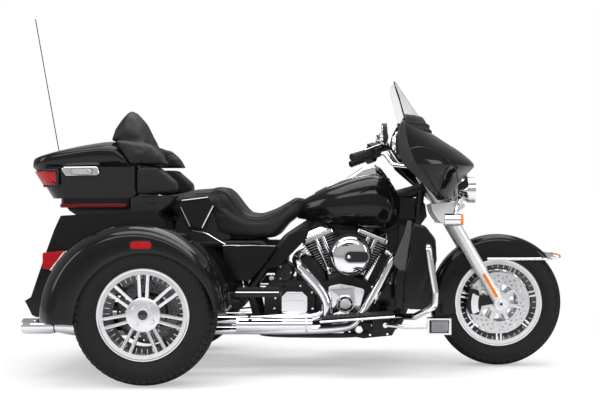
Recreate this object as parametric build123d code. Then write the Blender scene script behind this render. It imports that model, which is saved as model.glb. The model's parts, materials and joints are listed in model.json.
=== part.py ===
from build123d import *
import os
from math import cos, radians, sin, tan

# Frame: X forward, Y to the left, Z up, ground at Z = 0, middle of the length at X = 0. Millimetres.

# Stance
WHEELBASE = 1670.0
FRONT_TYRE_R = 320.0
FRONT_REACH = FRONT_TYRE_R   # front axle to the foremost point
REAR_REACH = 777.0           # rear axle back to the tip of the antenna
TRACK = 1150.0               # between the middles of the rear tyres
FENDER_REACH = 120.0         # middle of a rear tyre out to the widest point of its fender
BODY_WIDTH = TRACK + 2 * FENDER_REACH
FRONT_AXLE_X = (WHEELBASE + REAR_REACH - FRONT_REACH) / 2
REAR_AXLE_X = FRONT_AXLE_X - WHEELBASE
CRANK_X = REAR_AXLE_X + 900.0
CRANK_Z = 326.0

# Clearances
SEAT_GAP = 0.3               # between pieces that are bolted together
RUN_GAP = 0.05               # radial, shaft in a bearing
MOVE_GAP = 8.0               # between pieces that move past each other

# Rear wheels
REAR_TYRE_R = 323.5
REAR_TYRE_W = 205.0
REAR_TYRE_WALL = 118.5       # height of the tyre above the rim
REAR_RIM_R = REAR_TYRE_R - REAR_TYRE_WALL
REAR_RIM_HALF = 75.0
REAR_AXLE_R = 20.0
REAR_HUB_R = 77.0
REAR_DISC_R = REAR_RIM_R - 59.0

# Front wheel
FRONT_TYRE_W = 130.0
FRONT_TYRE_WALL = 103.0      # height of the tyre above the rim
FRONT_RIM_R = FRONT_TYRE_R - FRONT_TYRE_WALL
FRONT_RIM_HALF = 45.0
FRONT_AXLE_R = 12.5
FRONT_HUB_R = 46.0
FRONT_HUB_HALF = 60.0
FRONT_DISC_R = FRONT_RIM_R - 62.0
DISC_THICK = 5.5
SPOKE_PAIRS = 7

# Steering and fork
RAKE = 26.0
TRAIL = 115.0
FORK_LEAN = 30.3
FORK_HALF = 110.0
FORK_R = 31.0
FORK_TOP_Z = 968.0
NECK_R = 36.0
STEM_R = 25.0
NECK_LOW_Z = 822.0
NECK_HIGH_Z = 950.0
CLAMP_THICK = 30.0
CLAMP_DEEP = 76.0

# Engine
V_HALF_ANGLE = 22.5
CASE_HALF = 118.0
DECK = 135.0                 # crank centre to the foot of the cylinders
HEAD_TOP = 345.0             # crank centre to the foot of the rocker covers
ROCKER_TOP = 396.0
FIN_COUNT = 12
FIN_THICK = 5.0

# Frame tubes
RAIL_R = 19.0
RAIL_HALF = 130.0
RAIL_Z = 205.0
SPINE_R = 30.0
SEAT_RAIL_R = 16.0
SEAT_RAIL_HALF = 170.0
SEAT_FOOT_Z = 640.0

# Rear body
TRUNK_CLEAR = 32.5           # trunk side to the inner side of the rear tyre
TRUNK_HALF = TRACK / 2 - REAR_TYRE_W / 2 - TRUNK_CLEAR
TRUNK_WALL = 16.0
FENDER_SKIN = 6.0
DOOR_HALF = TRUNK_HALF - 100.0
DOOR_GAP = 5.0

# Top case
CASE_HALF_WIDTH = 312.0
CASE_REAR = 621.0            # behind the rear axle
CASE_FRONT = 94.0            # behind the rear axle
CASE_FOOT_Z = 842.0
CASE_SPLIT_Z = 1000.0
CASE_WALL = 10.0
LID_GAP = 5.0


def outline(points, corner=0.0):
    """A flat face round the points, its corners rounded to one radius."""
    line = FilletPolyline(*points, radius=corner, close=True) if corner else Polyline(*points, close=True)
    return make_face(line)


def side_slab(points, y_low, y_high, corner=0.0):
    """A side-view outline of (x, z) points, solid from one lateral position to another."""
    face = Plane.XZ.offset(-y_high) * outline(points, corner)
    return extrude(face, amount=y_high - y_low)


def plan_slab(points, z_low, z_high, corner=0.0):
    """A plan outline of (x, y) points, solid from one height to another."""
    face = Plane.XY.offset(z_low) * outline(points, corner)
    return extrude(face, amount=z_high - z_low)


def rod(start, end, radius):
    """A round bar between two points."""
    span = Vector(*end) - Vector(*start)
    return extrude(Plane(origin=start, z_dir=span) * Circle(radius), amount=span.length)


def cone(start, end, r_start, r_end):
    """A round bar between two points that changes its radius."""
    span = Vector(*end) - Vector(*start)
    plane = Plane(origin=start, z_dir=span)
    return plane * Cone(r_start, r_end, span.length, align=(Align.CENTER, Align.CENTER, Align.MIN))


def bent_tube(points, radius, bend):
    """A round bar along straight runs joined by bends of one radius."""
    path = FilletPolyline(*points, radius=bend)
    return sweep(Plane(origin=path @ 0, z_dir=path % 0) * Circle(radius), path=path)


def ring(points):
    """A ring about the Y axis from a section of (radius, y) points."""
    return revolve(outline(points), axis=Axis.Y)


def hull_along_x(rows):
    """A body through rounded upright sections: x, low z, high z, half width, corner radius."""
    faces = []
    for x, low, high, half, corner in rows:
        plane = Plane(origin=(x, 0, (low + high) / 2), x_dir=(0, 1, 0), z_dir=(1, 0, 0))
        faces.append(plane * RectangleRounded(2 * half, high - low, corner))
    return loft(faces, ruled=True)


def cross_slab(points, x_low, x_high):
    """An outline of (y, z) points, solid from one x to another."""
    plane = Plane(origin=(x_low, 0, 0), x_dir=(0, 1, 0), z_dir=(1, 0, 0))
    return extrude(plane * outline(points), amount=x_high - x_low)


def crowned_along_x(rows, foot_z, half):
    """A form with flat sides and foot through sections: x, height at the sides, height in the middle."""
    faces = []
    for x, side_z, mid_z in rows:
        roof = ThreePointArc((x, -half, side_z), (x, 0, mid_z), (x, half, side_z))
        rest = Polyline((x, half, side_z), (x, half, foot_z), (x, -half, foot_z), (x, -half, side_z))
        faces.append(make_face([roof, rest]))
    return loft(faces, ruled=True)


def both(solid):
    """The piece and its twin on the other side."""
    return [solid, mirror(solid, about=Plane.XZ)]


def steer_x(z):
    """Where the steering axis is at a height."""
    return FRONT_AXLE_X + TRAIL - z * tan(radians(RAKE))


def fork_x(z):
    """Where the fork legs are at a height."""
    return FRONT_AXLE_X - (z - FRONT_TYRE_R) * tan(radians(FORK_LEAN))


def save(name, pieces):
    """Writes one node with all its solids."""
    solids = [solid for piece in pieces for solid in piece.solids()]
    export_step(Compound(children=solids), f"parts/{name}.step")
    print(name, len(solids))


# Wheels
def tyre(radius, width, rim_r, seat_half):
    """A road tyre about the Y axis, seated between the rim's flanges."""
    bead = rim_r - 14.0
    half = width / 2
    shoulder_r = radius - 0.045 * radius
    shoulder_y = 0.80 * half
    wall_r = bead + 0.45 * (radius - bead)
    low = [(rim_r + 1, -seat_half), (wall_r, -half), (shoulder_r, -shoulder_y)]
    high = [(rim_r + 1, seat_half), (wall_r, half), (shoulder_r, shoulder_y)]
    section = [
        ThreePointArc(*low),
        ThreePointArc(low[2], (radius, 0), high[2]),
        ThreePointArc(high[2], high[1], high[0]),
        Polyline(high[0], (bead, seat_half), (bead, -seat_half), low[0]),
    ]
    return revolve(make_face(section), axis=Axis.Y)


def rim(rim_r, half, lip, spoke_low, spoke_high, hub_r, hub_low, hub_high, bore):
    """A cast wheel about the Y axis with pairs of spokes between hub and barrel."""
    barrel_r = rim_r - 26.0
    seat_r = rim_r - 14.0 - SEAT_GAP
    section = [
        (barrel_r, -half), (rim_r, -half), (rim_r, lip - half), (seat_r, lip - half),
        (seat_r, half - lip), (rim_r, half - lip), (rim_r, half), (barrel_r, half),
    ]
    spokes = []
    for pair in range(SPOKE_PAIRS):
        for side in (-1, 1):
            foot, tip, wide = side * 15.0, side * 21.0, 7.0
            bar = side_slab(
                [(foot - wide, hub_r - 10), (foot + wide, hub_r - 10),
                 (tip + wide, barrel_r + 5), (tip - wide, barrel_r + 5)], spoke_low, spoke_high)
            spokes.append(Rot(0, pair * 360.0 / SPOKE_PAIRS, 0) * bar)
    hub = rod((0, hub_low, 0), (0, hub_high, 0), hub_r)
    return ring(section) + hub + spokes - rod((0, hub_low - 1, 0), (0, bore[1], 0), bore[0])


def disc(radius, inner, y_low):
    """A brake disc about the Y axis."""
    return ring(
        [(inner, y_low), (radius, y_low), (radius, y_low + DISC_THICK), (inner, y_low + DISC_THICK)]
    )


rear_seat = REAR_RIM_HALF - 8.0
rear_place = Pos(REAR_AXLE_X, TRACK / 2, REAR_TYRE_R)
rear_hub_low = -60.0
rear_rim = rear_place * rim(REAR_RIM_R, REAR_RIM_HALF, 8.0, 38.0, 64.0, REAR_HUB_R, rear_hub_low, 60.0,
                            (REAR_AXLE_R + RUN_GAP, 50.0))
rear_tyre = rear_place * tyre(REAR_TYRE_R, REAR_TYRE_W, REAR_RIM_R, rear_seat - SEAT_GAP)
rear_disc = rear_place * disc(REAR_DISC_R, 30.0, rear_hub_low - DISC_THICK)
front_seat = FRONT_RIM_HALF - 7.0
front_place = Pos(FRONT_AXLE_X, 0, FRONT_TYRE_R)
front_rim = front_place * rim(FRONT_RIM_R, FRONT_RIM_HALF, 7.0, -13.0, 13.0, FRONT_HUB_R, -FRONT_HUB_HALF,
                              FRONT_HUB_HALF, (FRONT_AXLE_R + RUN_GAP, FRONT_HUB_HALF + 1))
front_tyre = front_place * tyre(FRONT_TYRE_R, FRONT_TYRE_W, FRONT_RIM_R, front_seat - SEAT_GAP)
front_disc = front_place * disc(FRONT_DISC_R, 22.0, FRONT_HUB_HALF)

# Stations that the rest is measured from
E = CRANK_X
R = REAR_AXLE_X
A = FRONT_AXLE_X

# Frame: neck, spine, side tubes that cradle the engine, seat rails and bridges
neck_low = (steer_x(NECK_LOW_Z), 0, NECK_LOW_Z)
neck_high = (steer_x(NECK_HIGH_Z), 0, NECK_HIGH_Z)
spine_front = (steer_x(905), 0, 905)
spine_rear = (E - 160, 0, 740)
side_points = [
    (steer_x(900) - 62, 22, 886), (E + 306, 95, 330), (E + 255, RAIL_HALF, RAIL_Z),
    (E - 424, RAIL_HALF, RAIL_Z),
    (E - 470, 166, 400), (E - 289, SEAT_RAIL_HALF, 650), (E - 150, 16, 742),
]
side_tube = bent_tube(side_points, RAIL_R, 60)
side_room = bent_tube(side_points, RAIL_R + SEAT_GAP, 60)
seat_rail_z = SEAT_FOOT_Z - SEAT_GAP - SEAT_RAIL_R
trunk_front = R + 61.5
seat_rail = bent_tube(
    [(E - 385, SEAT_RAIL_HALF, 520), (E - 400, SEAT_RAIL_HALF, seat_rail_z),
     (trunk_front + SEAT_GAP, SEAT_RAIL_HALF, seat_rail_z)], SEAT_RAIL_R, 30)
bridges = [
    rod((E + 215, -RAIL_HALF, RAIL_Z), (E + 215, RAIL_HALF, RAIL_Z), 22),
    rod((E - 415, -RAIL_HALF, RAIL_Z + 5), (E - 415, RAIL_HALF, RAIL_Z + 5), 22),
]
frame = rod(neck_low, neck_high, NECK_R) + rod(spine_front, spine_rear, SPINE_R)
frame = frame + both(side_tube) + both(seat_rail) + bridges
frame = frame - rod(neck_low, neck_high, STEM_R + RUN_GAP)

# Rear axle with its swing arm, shocks and belt
axle_half = TRACK / 2 - 72.0
axle_z = REAR_TYRE_R
pivot_x = E - 520
arm = bent_tube([(pivot_x, 148, 330), (pivot_x - 120, 150, 326), (R, TRUNK_HALF - 190, axle_z)], 26, 60)
rear_axle = (
    rod((R, -axle_half, axle_z), (R, axle_half, axle_z), 40)
    + rod((R, -TRACK / 2 - 45, axle_z), (R, TRACK / 2 + 45, axle_z), REAR_AXLE_R)
    + rod((R, -75, axle_z), (R, 75, axle_z), 90)
    + both(arm)
    + rod((pivot_x, -140, 330), (pivot_x, 140, 330), 28)
)
shock_y = TRUNK_HALF - 120.0
shock = rod((R - 30, shock_y, axle_z + 40.3), (R - 30, shock_y, 431.7), 27)
BELT_LOW = 84.0
BELT_HIGH = 106.0
pulley_x = E - 290
pulley_z = 345.0
rear_pulley = 86.0
front_pulley = 50.0
upper_run = [(R, axle_z + rear_pulley), (pulley_x, pulley_z + front_pulley),
             (pulley_x, pulley_z + front_pulley - 6),
             (R, axle_z + rear_pulley - 6)]
lower_run = [(R, axle_z - rear_pulley), (pulley_x, pulley_z - front_pulley),
             (pulley_x, pulley_z - front_pulley + 6),
             (R, axle_z - rear_pulley + 6)]
belt = (
    rod((R, BELT_LOW, axle_z), (R, BELT_HIGH, axle_z), rear_pulley)
    + rod((pulley_x, BELT_LOW, pulley_z), (pulley_x, BELT_HIGH, pulley_z), front_pulley)
    + side_slab(upper_run, BELT_LOW, BELT_HIGH)
    + side_slab(lower_run, BELT_LOW, BELT_HIGH)
    - rod((R, 0, axle_z), (R, 200, axle_z), 40 + SEAT_GAP)
)

# Engine
def on_cylinder(solid, lean):
    """Places a piece made about the upright crank onto the front or the rear cylinder."""
    return Pos(E, 0, CRANK_Z) * Rot(0, lean * V_HALF_ANGLE, 0) * solid


def fin_half(t):
    """Half width of a cooling fin, by its distance from the crank."""
    return 50.0 + (t - DECK - 10) * 0.225


def cylinder_unit():
    """A finned barrel with its finned head about the Z axis."""
    pitch = (HEAD_TOP - DECK - 10 - FIN_THICK) / (FIN_COUNT - 1)
    body = Pos(0, 0, (DECK + HEAD_TOP) / 2) * Cylinder(44, HEAD_TOP - DECK)
    for k in range(FIN_COUNT):
        t = DECK + 10 + k * pitch
        half = fin_half(t)
        deep = min(half + 6, 80.0)
        cut = 22.0
        points = [
            (-half, -deep + cut), (-half + cut, -deep), (half - cut, -deep), (half, -deep + cut),
            (half, deep - cut), (half - cut, deep), (-half + cut, deep), (-half, deep - cut),
        ]
        body = body + plan_slab(points, t, t + FIN_THICK)
    return body


def rocker_unit():
    """A rocker cover about the Z axis, standing on the head."""
    foot = Pos(0, -8, HEAD_TOP) * RectangleRounded(170, 190, 22)
    low = extrude(foot, amount=22)
    roof = Pos(0, -8, HEAD_TOP + 22) * RectangleRounded(158, 178, 22)
    return low + extrude(roof, amount=ROCKER_TOP - HEAD_TOP - 22, taper=28)


cylinders = [on_cylinder(cylinder_unit(), lean) for lean in (-1, 1)]
rocker_covers = [on_cylinder(rocker_unit(), lean) for lean in (-1, 1)]
PUSHROD_R = 11.0
PUSHROD_Y = -(80.0 + PUSHROD_R + 1)
TAPPET = 158.0
pushrod_tubes = []
for lean in (-1, 1):
    for tube_x in (-16.0, 20.0):
        tube = rod(
            (tube_x, PUSHROD_Y, TAPPET + SEAT_GAP), (tube_x, PUSHROD_Y, HEAD_TOP - SEAT_GAP), PUSHROD_R,
        )
        pushrod_tubes.append(on_cylinder(tube, lean))
peak = DECK / cos(radians(V_HALF_ANGLE))
deck_out = 62.0
deck_x = DECK * sin(radians(V_HALF_ANGLE)) + deck_out * cos(radians(V_HALF_ANGLE))
deck_z = CRANK_Z + DECK * cos(radians(V_HALF_ANGLE)) - deck_out * sin(radians(V_HALF_ANGLE))
case_points = [
    (E - 140, 232), (E + 150, 232), (E + 168, 330), (E + deck_x, deck_z), (E, CRANK_Z + peak),
    (E - deck_x, deck_z), (E - 150, 335),
]
tappets = [
    on_cylinder(Pos(2, PUSHROD_Y - 6, TAPPET - 35) * Box(66, 38, 70), lean) for lean in (-1, 1)
]
cylinder_room = [on_cylinder(Pos(0, 0, 250) * Box(210, 2 * 80.5, 230 - 0.001), lean) for lean in (-1, 1)]
intake_points = [(E, CRANK_Z + peak - 20), (E + 74, 640), (E + 30, 664), (E - 30, 664), (E - 74, 640)]
intake = side_slab(intake_points, -60, 60)
for lean in (-1, 1):
    for t in range(int(DECK) - 4, int(HEAD_TOP) + 60, 12):
        half = fin_half(min(t + 12, HEAD_TOP)) + 2.0
        intake = intake - on_cylinder(Pos(0, 0, t + 6) * Box(2 * half, 240, 12.01), lean)
engine_case = side_slab(case_points, -CASE_HALF, CASE_HALF) + tappets - cylinder_room + intake

cam_points = [
    (E - 82, 268), (E - 84, 410), (E - 20, 424), (E + 40, 412), (E + 96, 396), (E + 70, 300),
    (E - 5, 262),
]
cam_cover = side_slab(
    cam_points, -178, -CASE_HALF - SEAT_GAP, 12,
) + rod((E, -176, CRANK_Z), (E, -192, CRANK_Z), 43)
gear_points = [(E - 400, 250), (E - 150.4, 235), (E - 150.4, 425), (E - 340, 455), (E - 400, 400)]
gearbox = side_slab(gear_points, -150, BELT_LOW - SEAT_GAP)
gearbox = gearbox + rod((E - 302, -150, 478), (E - 302, 60, 478), 46)
battery_points = [(E - 440, 470), (E - 290, 470), (E - 284, 632), (E - 430, 632)]
gearbox = gearbox + side_slab(battery_points, -90, 70, 10)
gear_cover_points = [
    (E - 311, 290), (E - 295, 280), (E - 200, 280), (E - 185, 295), (E - 185, 365), (E - 210, 388),
    (E - 286, 388),
    (E - 311, 365),
]
gear_cover = side_slab(gear_cover_points, -220, -150.3, 8)
primary_points = [
    (E - 395, 300), (E - 350, 245), (E + 60, 232), (E + 105, 290), (E + 105, 360), (E + 60, 420),
    (E - 340, 440),
    (E - 395, 390),
]
primary_case = side_slab(primary_points, CASE_HALF + SEAT_GAP, 212, 40)
AIR_X = E + 22
AIR_Z = 566.0
air_cleaner = (
    rod((AIR_X, -285, AIR_Z), (AIR_X, -190, AIR_Z), 98)
    + rod((AIR_X, -190, AIR_Z), (AIR_X, -175, AIR_Z), 88)
    + rod((E, -176, AIR_Z - 6), (E, -80.3, AIR_Z - 6), 52)
)
PIPE_R = 22.0
PIPE_Y = -262.0
port = HEAD_TOP - 40
port_out = fin_half(port + PIPE_R - 4) + SEAT_GAP
lean_sin = sin(radians(V_HALF_ANGLE))
lean_cos = cos(radians(V_HALF_ANGLE))
port_x = port * lean_sin + port_out * lean_cos
port_z = CRANK_Z + port * lean_cos - port_out * lean_sin
elbow_x = port_x + 44 * lean_cos
elbow_z = port_z - 44 * lean_sin
MUFFLER_Y = -(TRUNK_HALF - 140.0)
TAIL_Y = -(TRUNK_HALF - 95.0)
MUFFLER_FRONT = R + 265
rear_pipe = bent_tube(
    [(E - port_x, -36, port_z), (E - elbow_x, -36, elbow_z), (E - elbow_x, PIPE_Y, elbow_z - 26),
     (E - 96, PIPE_Y, 352),
     (E - 170, PIPE_Y, 266), (E - 330, PIPE_Y, 266), (E - 420, MUFFLER_Y, 262),
     (MUFFLER_FRONT + SEAT_GAP, MUFFLER_Y, 262)], PIPE_R, 38)
front_pipe = bent_tube(
    [(E + port_x, -36, port_z), (E + elbow_x, -36, elbow_z), (E + elbow_x, -226, elbow_z),
     (E + 66, -226, 236),
     (E - 60, MUFFLER_Y, 214), (MUFFLER_FRONT + SEAT_GAP, MUFFLER_Y, 214)], PIPE_R, 38)
cross_pipe = rod((E - 470, MUFFLER_Y, 214), (E - 470, -MUFFLER_Y, 214), PIPE_R - 2)
left_stub = rod((E - 440, -MUFFLER_Y, 214), (MUFFLER_FRONT + SEAT_GAP, -MUFFLER_Y, 214), PIPE_R)
front_pipe = front_pipe + cross_pipe + left_stub
MUFFLER_R = 46.0
muffler = (
    rod((MUFFLER_FRONT + 30, MUFFLER_Y + 2, 234), (R - 380, TAIL_Y, 238), MUFFLER_R)
    - side_slab([(MUFFLER_FRONT, 100), (MUFFLER_FRONT + 60, 100),
                 (MUFFLER_FRONT + 60, 400), (MUFFLER_FRONT, 400)],
                MUFFLER_Y - 100, MUFFLER_Y + 100)
)
tail_way = (Vector(R - 380, TAIL_Y, 238) - Vector(MUFFLER_FRONT + 30, MUFFLER_Y + 2, 234)).normalized()
tail_start = Vector(R - 380, TAIL_Y, 238)
muffler = muffler + cone(tuple(tail_start), tuple(tail_start + tail_way * 80), MUFFLER_R, 31)
muffler = muffler + rod(tuple(tail_start + tail_way * 80), tuple(tail_start + tail_way * 239), 31)

# Tank, console and seat, which meet along one sloping line
joint_low = (E - 237, 728)
joint_high = (E - 178, 850)
ahead = [joint_low, (E + 400, 600), (E + 400, 1200), (joint_high[0] + 60, 1100), joint_high]
seat_line = [
    (E - 240, 560), (E - 900, 560), (E - 900, 1200), (joint_high[0] + 60, 1100), joint_high, joint_low,
]
tank_rows = [
    # x, low z, high z, half width, corner radius
    (E - 240, 742, 822, 60, 30),
    (E - 164, 730, 862, 112, 50),
    (E - 73, 716, 905, 160, 70),
    (E + 36, 703, 945, 186, 85),
    (E + 136, 694, 966, 190, 90),
    (E + 206, 690, 948, 172, 85),
    (E + 251, 718, 890, 130, 60),
    (E + 273, 770, 845, 80, 30),
]
spine_slope = (spine_front[2] - spine_rear[2]) / (spine_front[0] - spine_rear[0])
tunnel = side_slab(
    [
        (E - 300, 600), (E + 330, 600), (E + 330, 740 + 490 * spine_slope + 40),
        (E - 300, 740 - 140 * spine_slope + 40),
    ],
    -78, 78)
tunnel = tunnel + side_slab([(E - 300, 600), (E + 330, 600), (E + 330, 738), (E - 300, 738)], -112, 112)
tank_full = hull_along_x(tank_rows)
fuel_tank = tank_full - tunnel - side_slab(seat_line, -400, 400)
console_rows = [
    (E - 172, 820, 864, 36, 12),
    (E - 94, 850, 900, 52, 14),
    (E - 3, 880, 940, 66, 16),
    (E + 91, 900, 1004, 75, 22),
    (E + 136, 900, 1020, 77, 26),
    (E + 178, 900, 996, 70, 24),
    (E + 222, 880, 938, 54, 14),
]
tank_console = hull_along_x(console_rows) - tank_full
seat_rows = [
    (R - CASE_FRONT + SEAT_GAP, 800, 850, 186, 20),
    (R + 8, 796, 854, 188, 24),
    (R + 64, 748, 860, 188, 36),
    (R + 88, 712, 866, 188, 40),
    (R + 166, 705, 884, 188, 50),
    (R + 244, 690, 888, 188, 50),
    (R + 262, SEAT_FOOT_Z, 898, 188, 50),
    (R + 290, SEAT_FOOT_Z, 898, 196, 50),
    (R + 320, SEAT_FOOT_Z, 886, 200, 48),
    (R + 356, SEAT_FOOT_Z, 842, 204, 44),
    (R + 418, SEAT_FOOT_Z, 774, 206, 42),
    (R + 470, SEAT_FOOT_Z, 766, 200, 40),
    (R + 550, SEAT_FOOT_Z, 788, 170, 40),
    (R + 620, 720, 826, 120, 32),
    (R + 672, 760, 850, 92, 28),
    (R + 712, 800, 836, 60, 12),
]
seat = hull_along_x(seat_rows) - side_slab([(x - 0.4, z) for x, z in ahead], -400, 400)

# Side panels: covers below the seat, deflectors on the frame, panels beside the passenger
cover_points = [
    (E - 594, 618), (E - 352, 614), (E - 324, 620), (E - 418, 495), (E - 470, 440), (E - 580, 455),
]
deflector_points = [(E - 171, 700), (E - 272, 668), (E - 398, 498), (E - 326, 508), (E - 190, 648)]
flank_points = [
    (R + 100, 832), (R + 232, 848), (R + 256, 804), (R + 200, 700), (R + 144, 706), (R + 97, 799),
]
side_panels = []
side_panels += both(side_slab(cover_points, SEAT_RAIL_HALF + SEAT_RAIL_R + SEAT_GAP, 242, 8))
side_panels += both(side_slab(deflector_points, SEAT_RAIL_HALF + RAIL_R + SEAT_GAP, 205))
side_panels += both(side_slab(flank_points, 188.3, 215, 10))

neck_points = [(E + 258, 742), (E + 352, 738), (E + 342, 800), (E + 300, 838), (E + 272, 842)]
side_panels += both(side_slab(neck_points, SPINE_R + SEAT_GAP, 74, 8) - side_room - tank_full)
tube_cover = [
    (E + 262, 232), (E + 284, 226), (E + 322, 330), (E + 345, 560), (E + 322, 560), (E + 298, 340),
]
side_panels += [side_slab(tube_cover, -64, 64) - side_room - mirror(side_room, about=Plane.XZ)]
cooler_points = [
    (E + 168.4, 240), (E + 240, 236), (E + 272, 330), (E + 250, 420), (E + 190, 400), (E + 168.4, 332),
]
side_panels += [side_slab(cooler_points, -60, 60) - side_room - mirror(side_room, about=Plane.XZ)]

# Trunk: a hollow box behind the rear axle, with a skirt below and a doorway in its sloping back
BACK_LINE = [(382, -562.0), (593, -491.0), (700, -452.0), (762, -423.0)]   # z, x from the rear axle


def back_x(z):
    """Where the trunk's back is at a height."""
    for (z0, x0), (z1, x1) in zip(BACK_LINE, BACK_LINE[1:]):
        if z <= z1:
            break
    return R + x0 + (x1 - x0) * (z - z0) / (z1 - z0)


FLOOR_Z = 432.0
DOOR_LOW = 452.0
DOOR_HIGH = 696.0
trunk_points = [
    (back_x(762), 762), (R + 6, 788), (trunk_front, 735), (trunk_front, FLOOR_Z),
    (back_x(FLOOR_Z), FLOOR_Z),
    (back_x(593), 593), (back_x(700), 700),
]
w = TRUNK_WALL
inside_points = [
    (back_x(762) + w, 762 - w), (R + 2, 788 - w), (trunk_front - w, 728), (trunk_front - w, FLOOR_Z + w),
    (back_x(FLOOR_Z + w) + w, FLOOR_Z + w), (back_x(593) + w, 593), (back_x(700) + w, 700),
]
skirt_points = [
    (back_x(FLOOR_Z), FLOOR_Z), (back_x(384), 384), (R - 590, 366), (R - 578, 345), (R - 556, 300),
    (R - 536, 290),
    (R - 440, 290), (R - 400, FLOOR_Z),
]
skirt_inside = [
    (back_x(FLOOR_Z) + w, FLOOR_Z), (back_x(384) + w, 384), (R - 562, 345), (R - 540, 300),
    (R - 530, 280),
    (R - 380, 280), (R - 380, FLOOR_Z),
]
skirt = side_slab(skirt_points, -TRUNK_HALF, TRUNK_HALF) - side_slab(
    skirt_inside, -TRUNK_HALF + w, TRUNK_HALF - w,
)
trunk_body = side_slab(trunk_points, -TRUNK_HALF, TRUNK_HALF) + skirt
trunk_body = trunk_body - side_slab(inside_points, -TRUNK_HALF + w, TRUNK_HALF - w)
doorway = side_slab([(R - 640, DOOR_LOW), (R - 400, DOOR_LOW), (R - 400, DOOR_HIGH), (R - 640, DOOR_HIGH)],
                    -DOOR_HALF, DOOR_HALF)
trunk_body = trunk_body - doorway
g = DOOR_GAP
door_points = [
    (back_x(DOOR_LOW + g), DOOR_LOW + g), (back_x(593), 593), (back_x(DOOR_HIGH - g), DOOR_HIGH - g),
    (back_x(DOOR_HIGH - g) + w, DOOR_HIGH - g), (back_x(593) + w, 593),
    (back_x(DOOR_LOW + g) + w, DOOR_LOW + g),
]
HINGE_X = back_x(DOOR_LOW - 16) - 14.0
HINGE_Z = DOOR_LOW - 4.0
HINGE_PIN_R = 3.5
trunk_door = side_slab(door_points, -DOOR_HALF + g, DOOR_HALF - g)
for hinge_y in (120.0 - DOOR_HALF, DOOR_HALF - 120.0):
    low, high = hinge_y - 14, hinge_y + 14
    ear = [
        (HINGE_X - 4, HINGE_Z - 4), (HINGE_X + 4, HINGE_Z - 4), (back_x(480) + 4, 478),
        (back_x(480) - 6, 480),
    ]
    trunk_door = trunk_door + side_slab(ear, low, high) + rod(
        (HINGE_X, low, HINGE_Z), (HINGE_X, high, HINGE_Z), 8,
    )
    trunk_door = trunk_door - rod(
        (HINGE_X, low - 1, HINGE_Z), (HINGE_X, high + 1, HINGE_Z), HINGE_PIN_R + RUN_GAP,
    )
    trunk_body = trunk_body + rod(
        (HINGE_X, low - 20, HINGE_Z), (HINGE_X, high + 20, HINGE_Z), HINGE_PIN_R,
    )
    for lug_low in (low - 22, high + 6):
        lug = [
            (HINGE_X - 7, HINGE_Z + 6), (HINGE_X - 7, HINGE_Z - 8), (back_x(430) + 6, 428),
            (back_x(445) + 6, 447),
        ]
        trunk_body = trunk_body + side_slab(lug, lug_low, lug_low + 16)

# Rear fenders: a channel over each wheel, round at the top and sloping in to a flat outer face
FENDER_R = 425.0
FENDER_AT = (R - 53, 306.0)
RIDGE_R = 377.0
RIDGE_AT = (R - 36, 313.0)
MOUTH_R = 311.0
MOUTH_AT = (R + 12, 284.0)
FENDER_SHOULDER = TRACK / 2 + 25.0
FENDER_OUT = BODY_WIDTH / 2 - 5.0
fender_in = TRUNK_HALF + SEAT_GAP
fender_past = BODY_WIDTH / 2 + 25.0


def fender_bulk(shrink, y_low, y_high):
    """The fender's outer form, or its inside when shrunk."""
    def circle(centre, radius, y):
        return Plane(
            origin=(centre[0], y, centre[1]), x_dir=(1, 0, 0), z_dir=(0, 1, 0),
        ) * Circle(radius - shrink)

    drum = extrude(circle(FENDER_AT, FENDER_R, y_low), amount=FENDER_SHOULDER - y_low)
    slope = loft(
        [circle(FENDER_AT, FENDER_R, FENDER_SHOULDER), circle(RIDGE_AT, RIDGE_R, y_high)], ruled=True,
    )
    return drum + slope


skin = FENDER_SKIN
rear_fender = fender_bulk(0, fender_in, FENDER_OUT) - fender_bulk(
    skin, fender_in + skin, FENDER_OUT - skin,
)
rear_fender = rear_fender - rod(
    (MOUTH_AT[0], FENDER_SHOULDER, MOUTH_AT[1]), (MOUTH_AT[0], fender_past, MOUTH_AT[1]), MOUTH_R,
)
rear_fender = rear_fender - rod(
    (FENDER_AT[0], fender_in - 40, FENDER_AT[1]), (FENDER_AT[0], fender_in + 30, FENDER_AT[1]), 345,
)
below = [(R - 600, -300), (R + 500, -300), (R + 500, 335), (R, 335), (R, 285), (R - 600, 285)]
rear_fender = rear_fender - side_slab(below, fender_in - 40, fender_past)

# Top case: a hollow lower half on feet, a hollow lid, lamps, latch and antenna
CASE_TAPER = 32.0


def case_outline(z, grow):
    """The case's plan at a height; the rear corners are the rounder ones."""
    share = (CASE_SPLIT_Z - z) / (CASE_SPLIT_Z - CASE_FOOT_Z)
    half = CASE_HALF_WIDTH - CASE_TAPER * share + grow
    rear = R - CASE_REAR + 90.0 * share - grow
    front = R - CASE_FRONT + grow
    points = [(front, -half), (front, half), (rear, half), (rear, -half)]
    line = FilletPolyline(*points, radius=(24 + grow, 24 + grow, 120 + grow, 120 + grow), close=True)
    return Plane.XY.offset(z) * make_face(line)


def case_loft(z_low, z_high, grow):
    """The lower half's tapering form between two heights."""
    return loft([case_outline(z_low, grow), case_outline(z_high, grow)], ruled=True)


def trunk_top(x):
    """Height of the trunk's roof."""
    return 762 + (x - back_x(762)) * (788 - 762) / (R + 6 - back_x(762))


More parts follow.
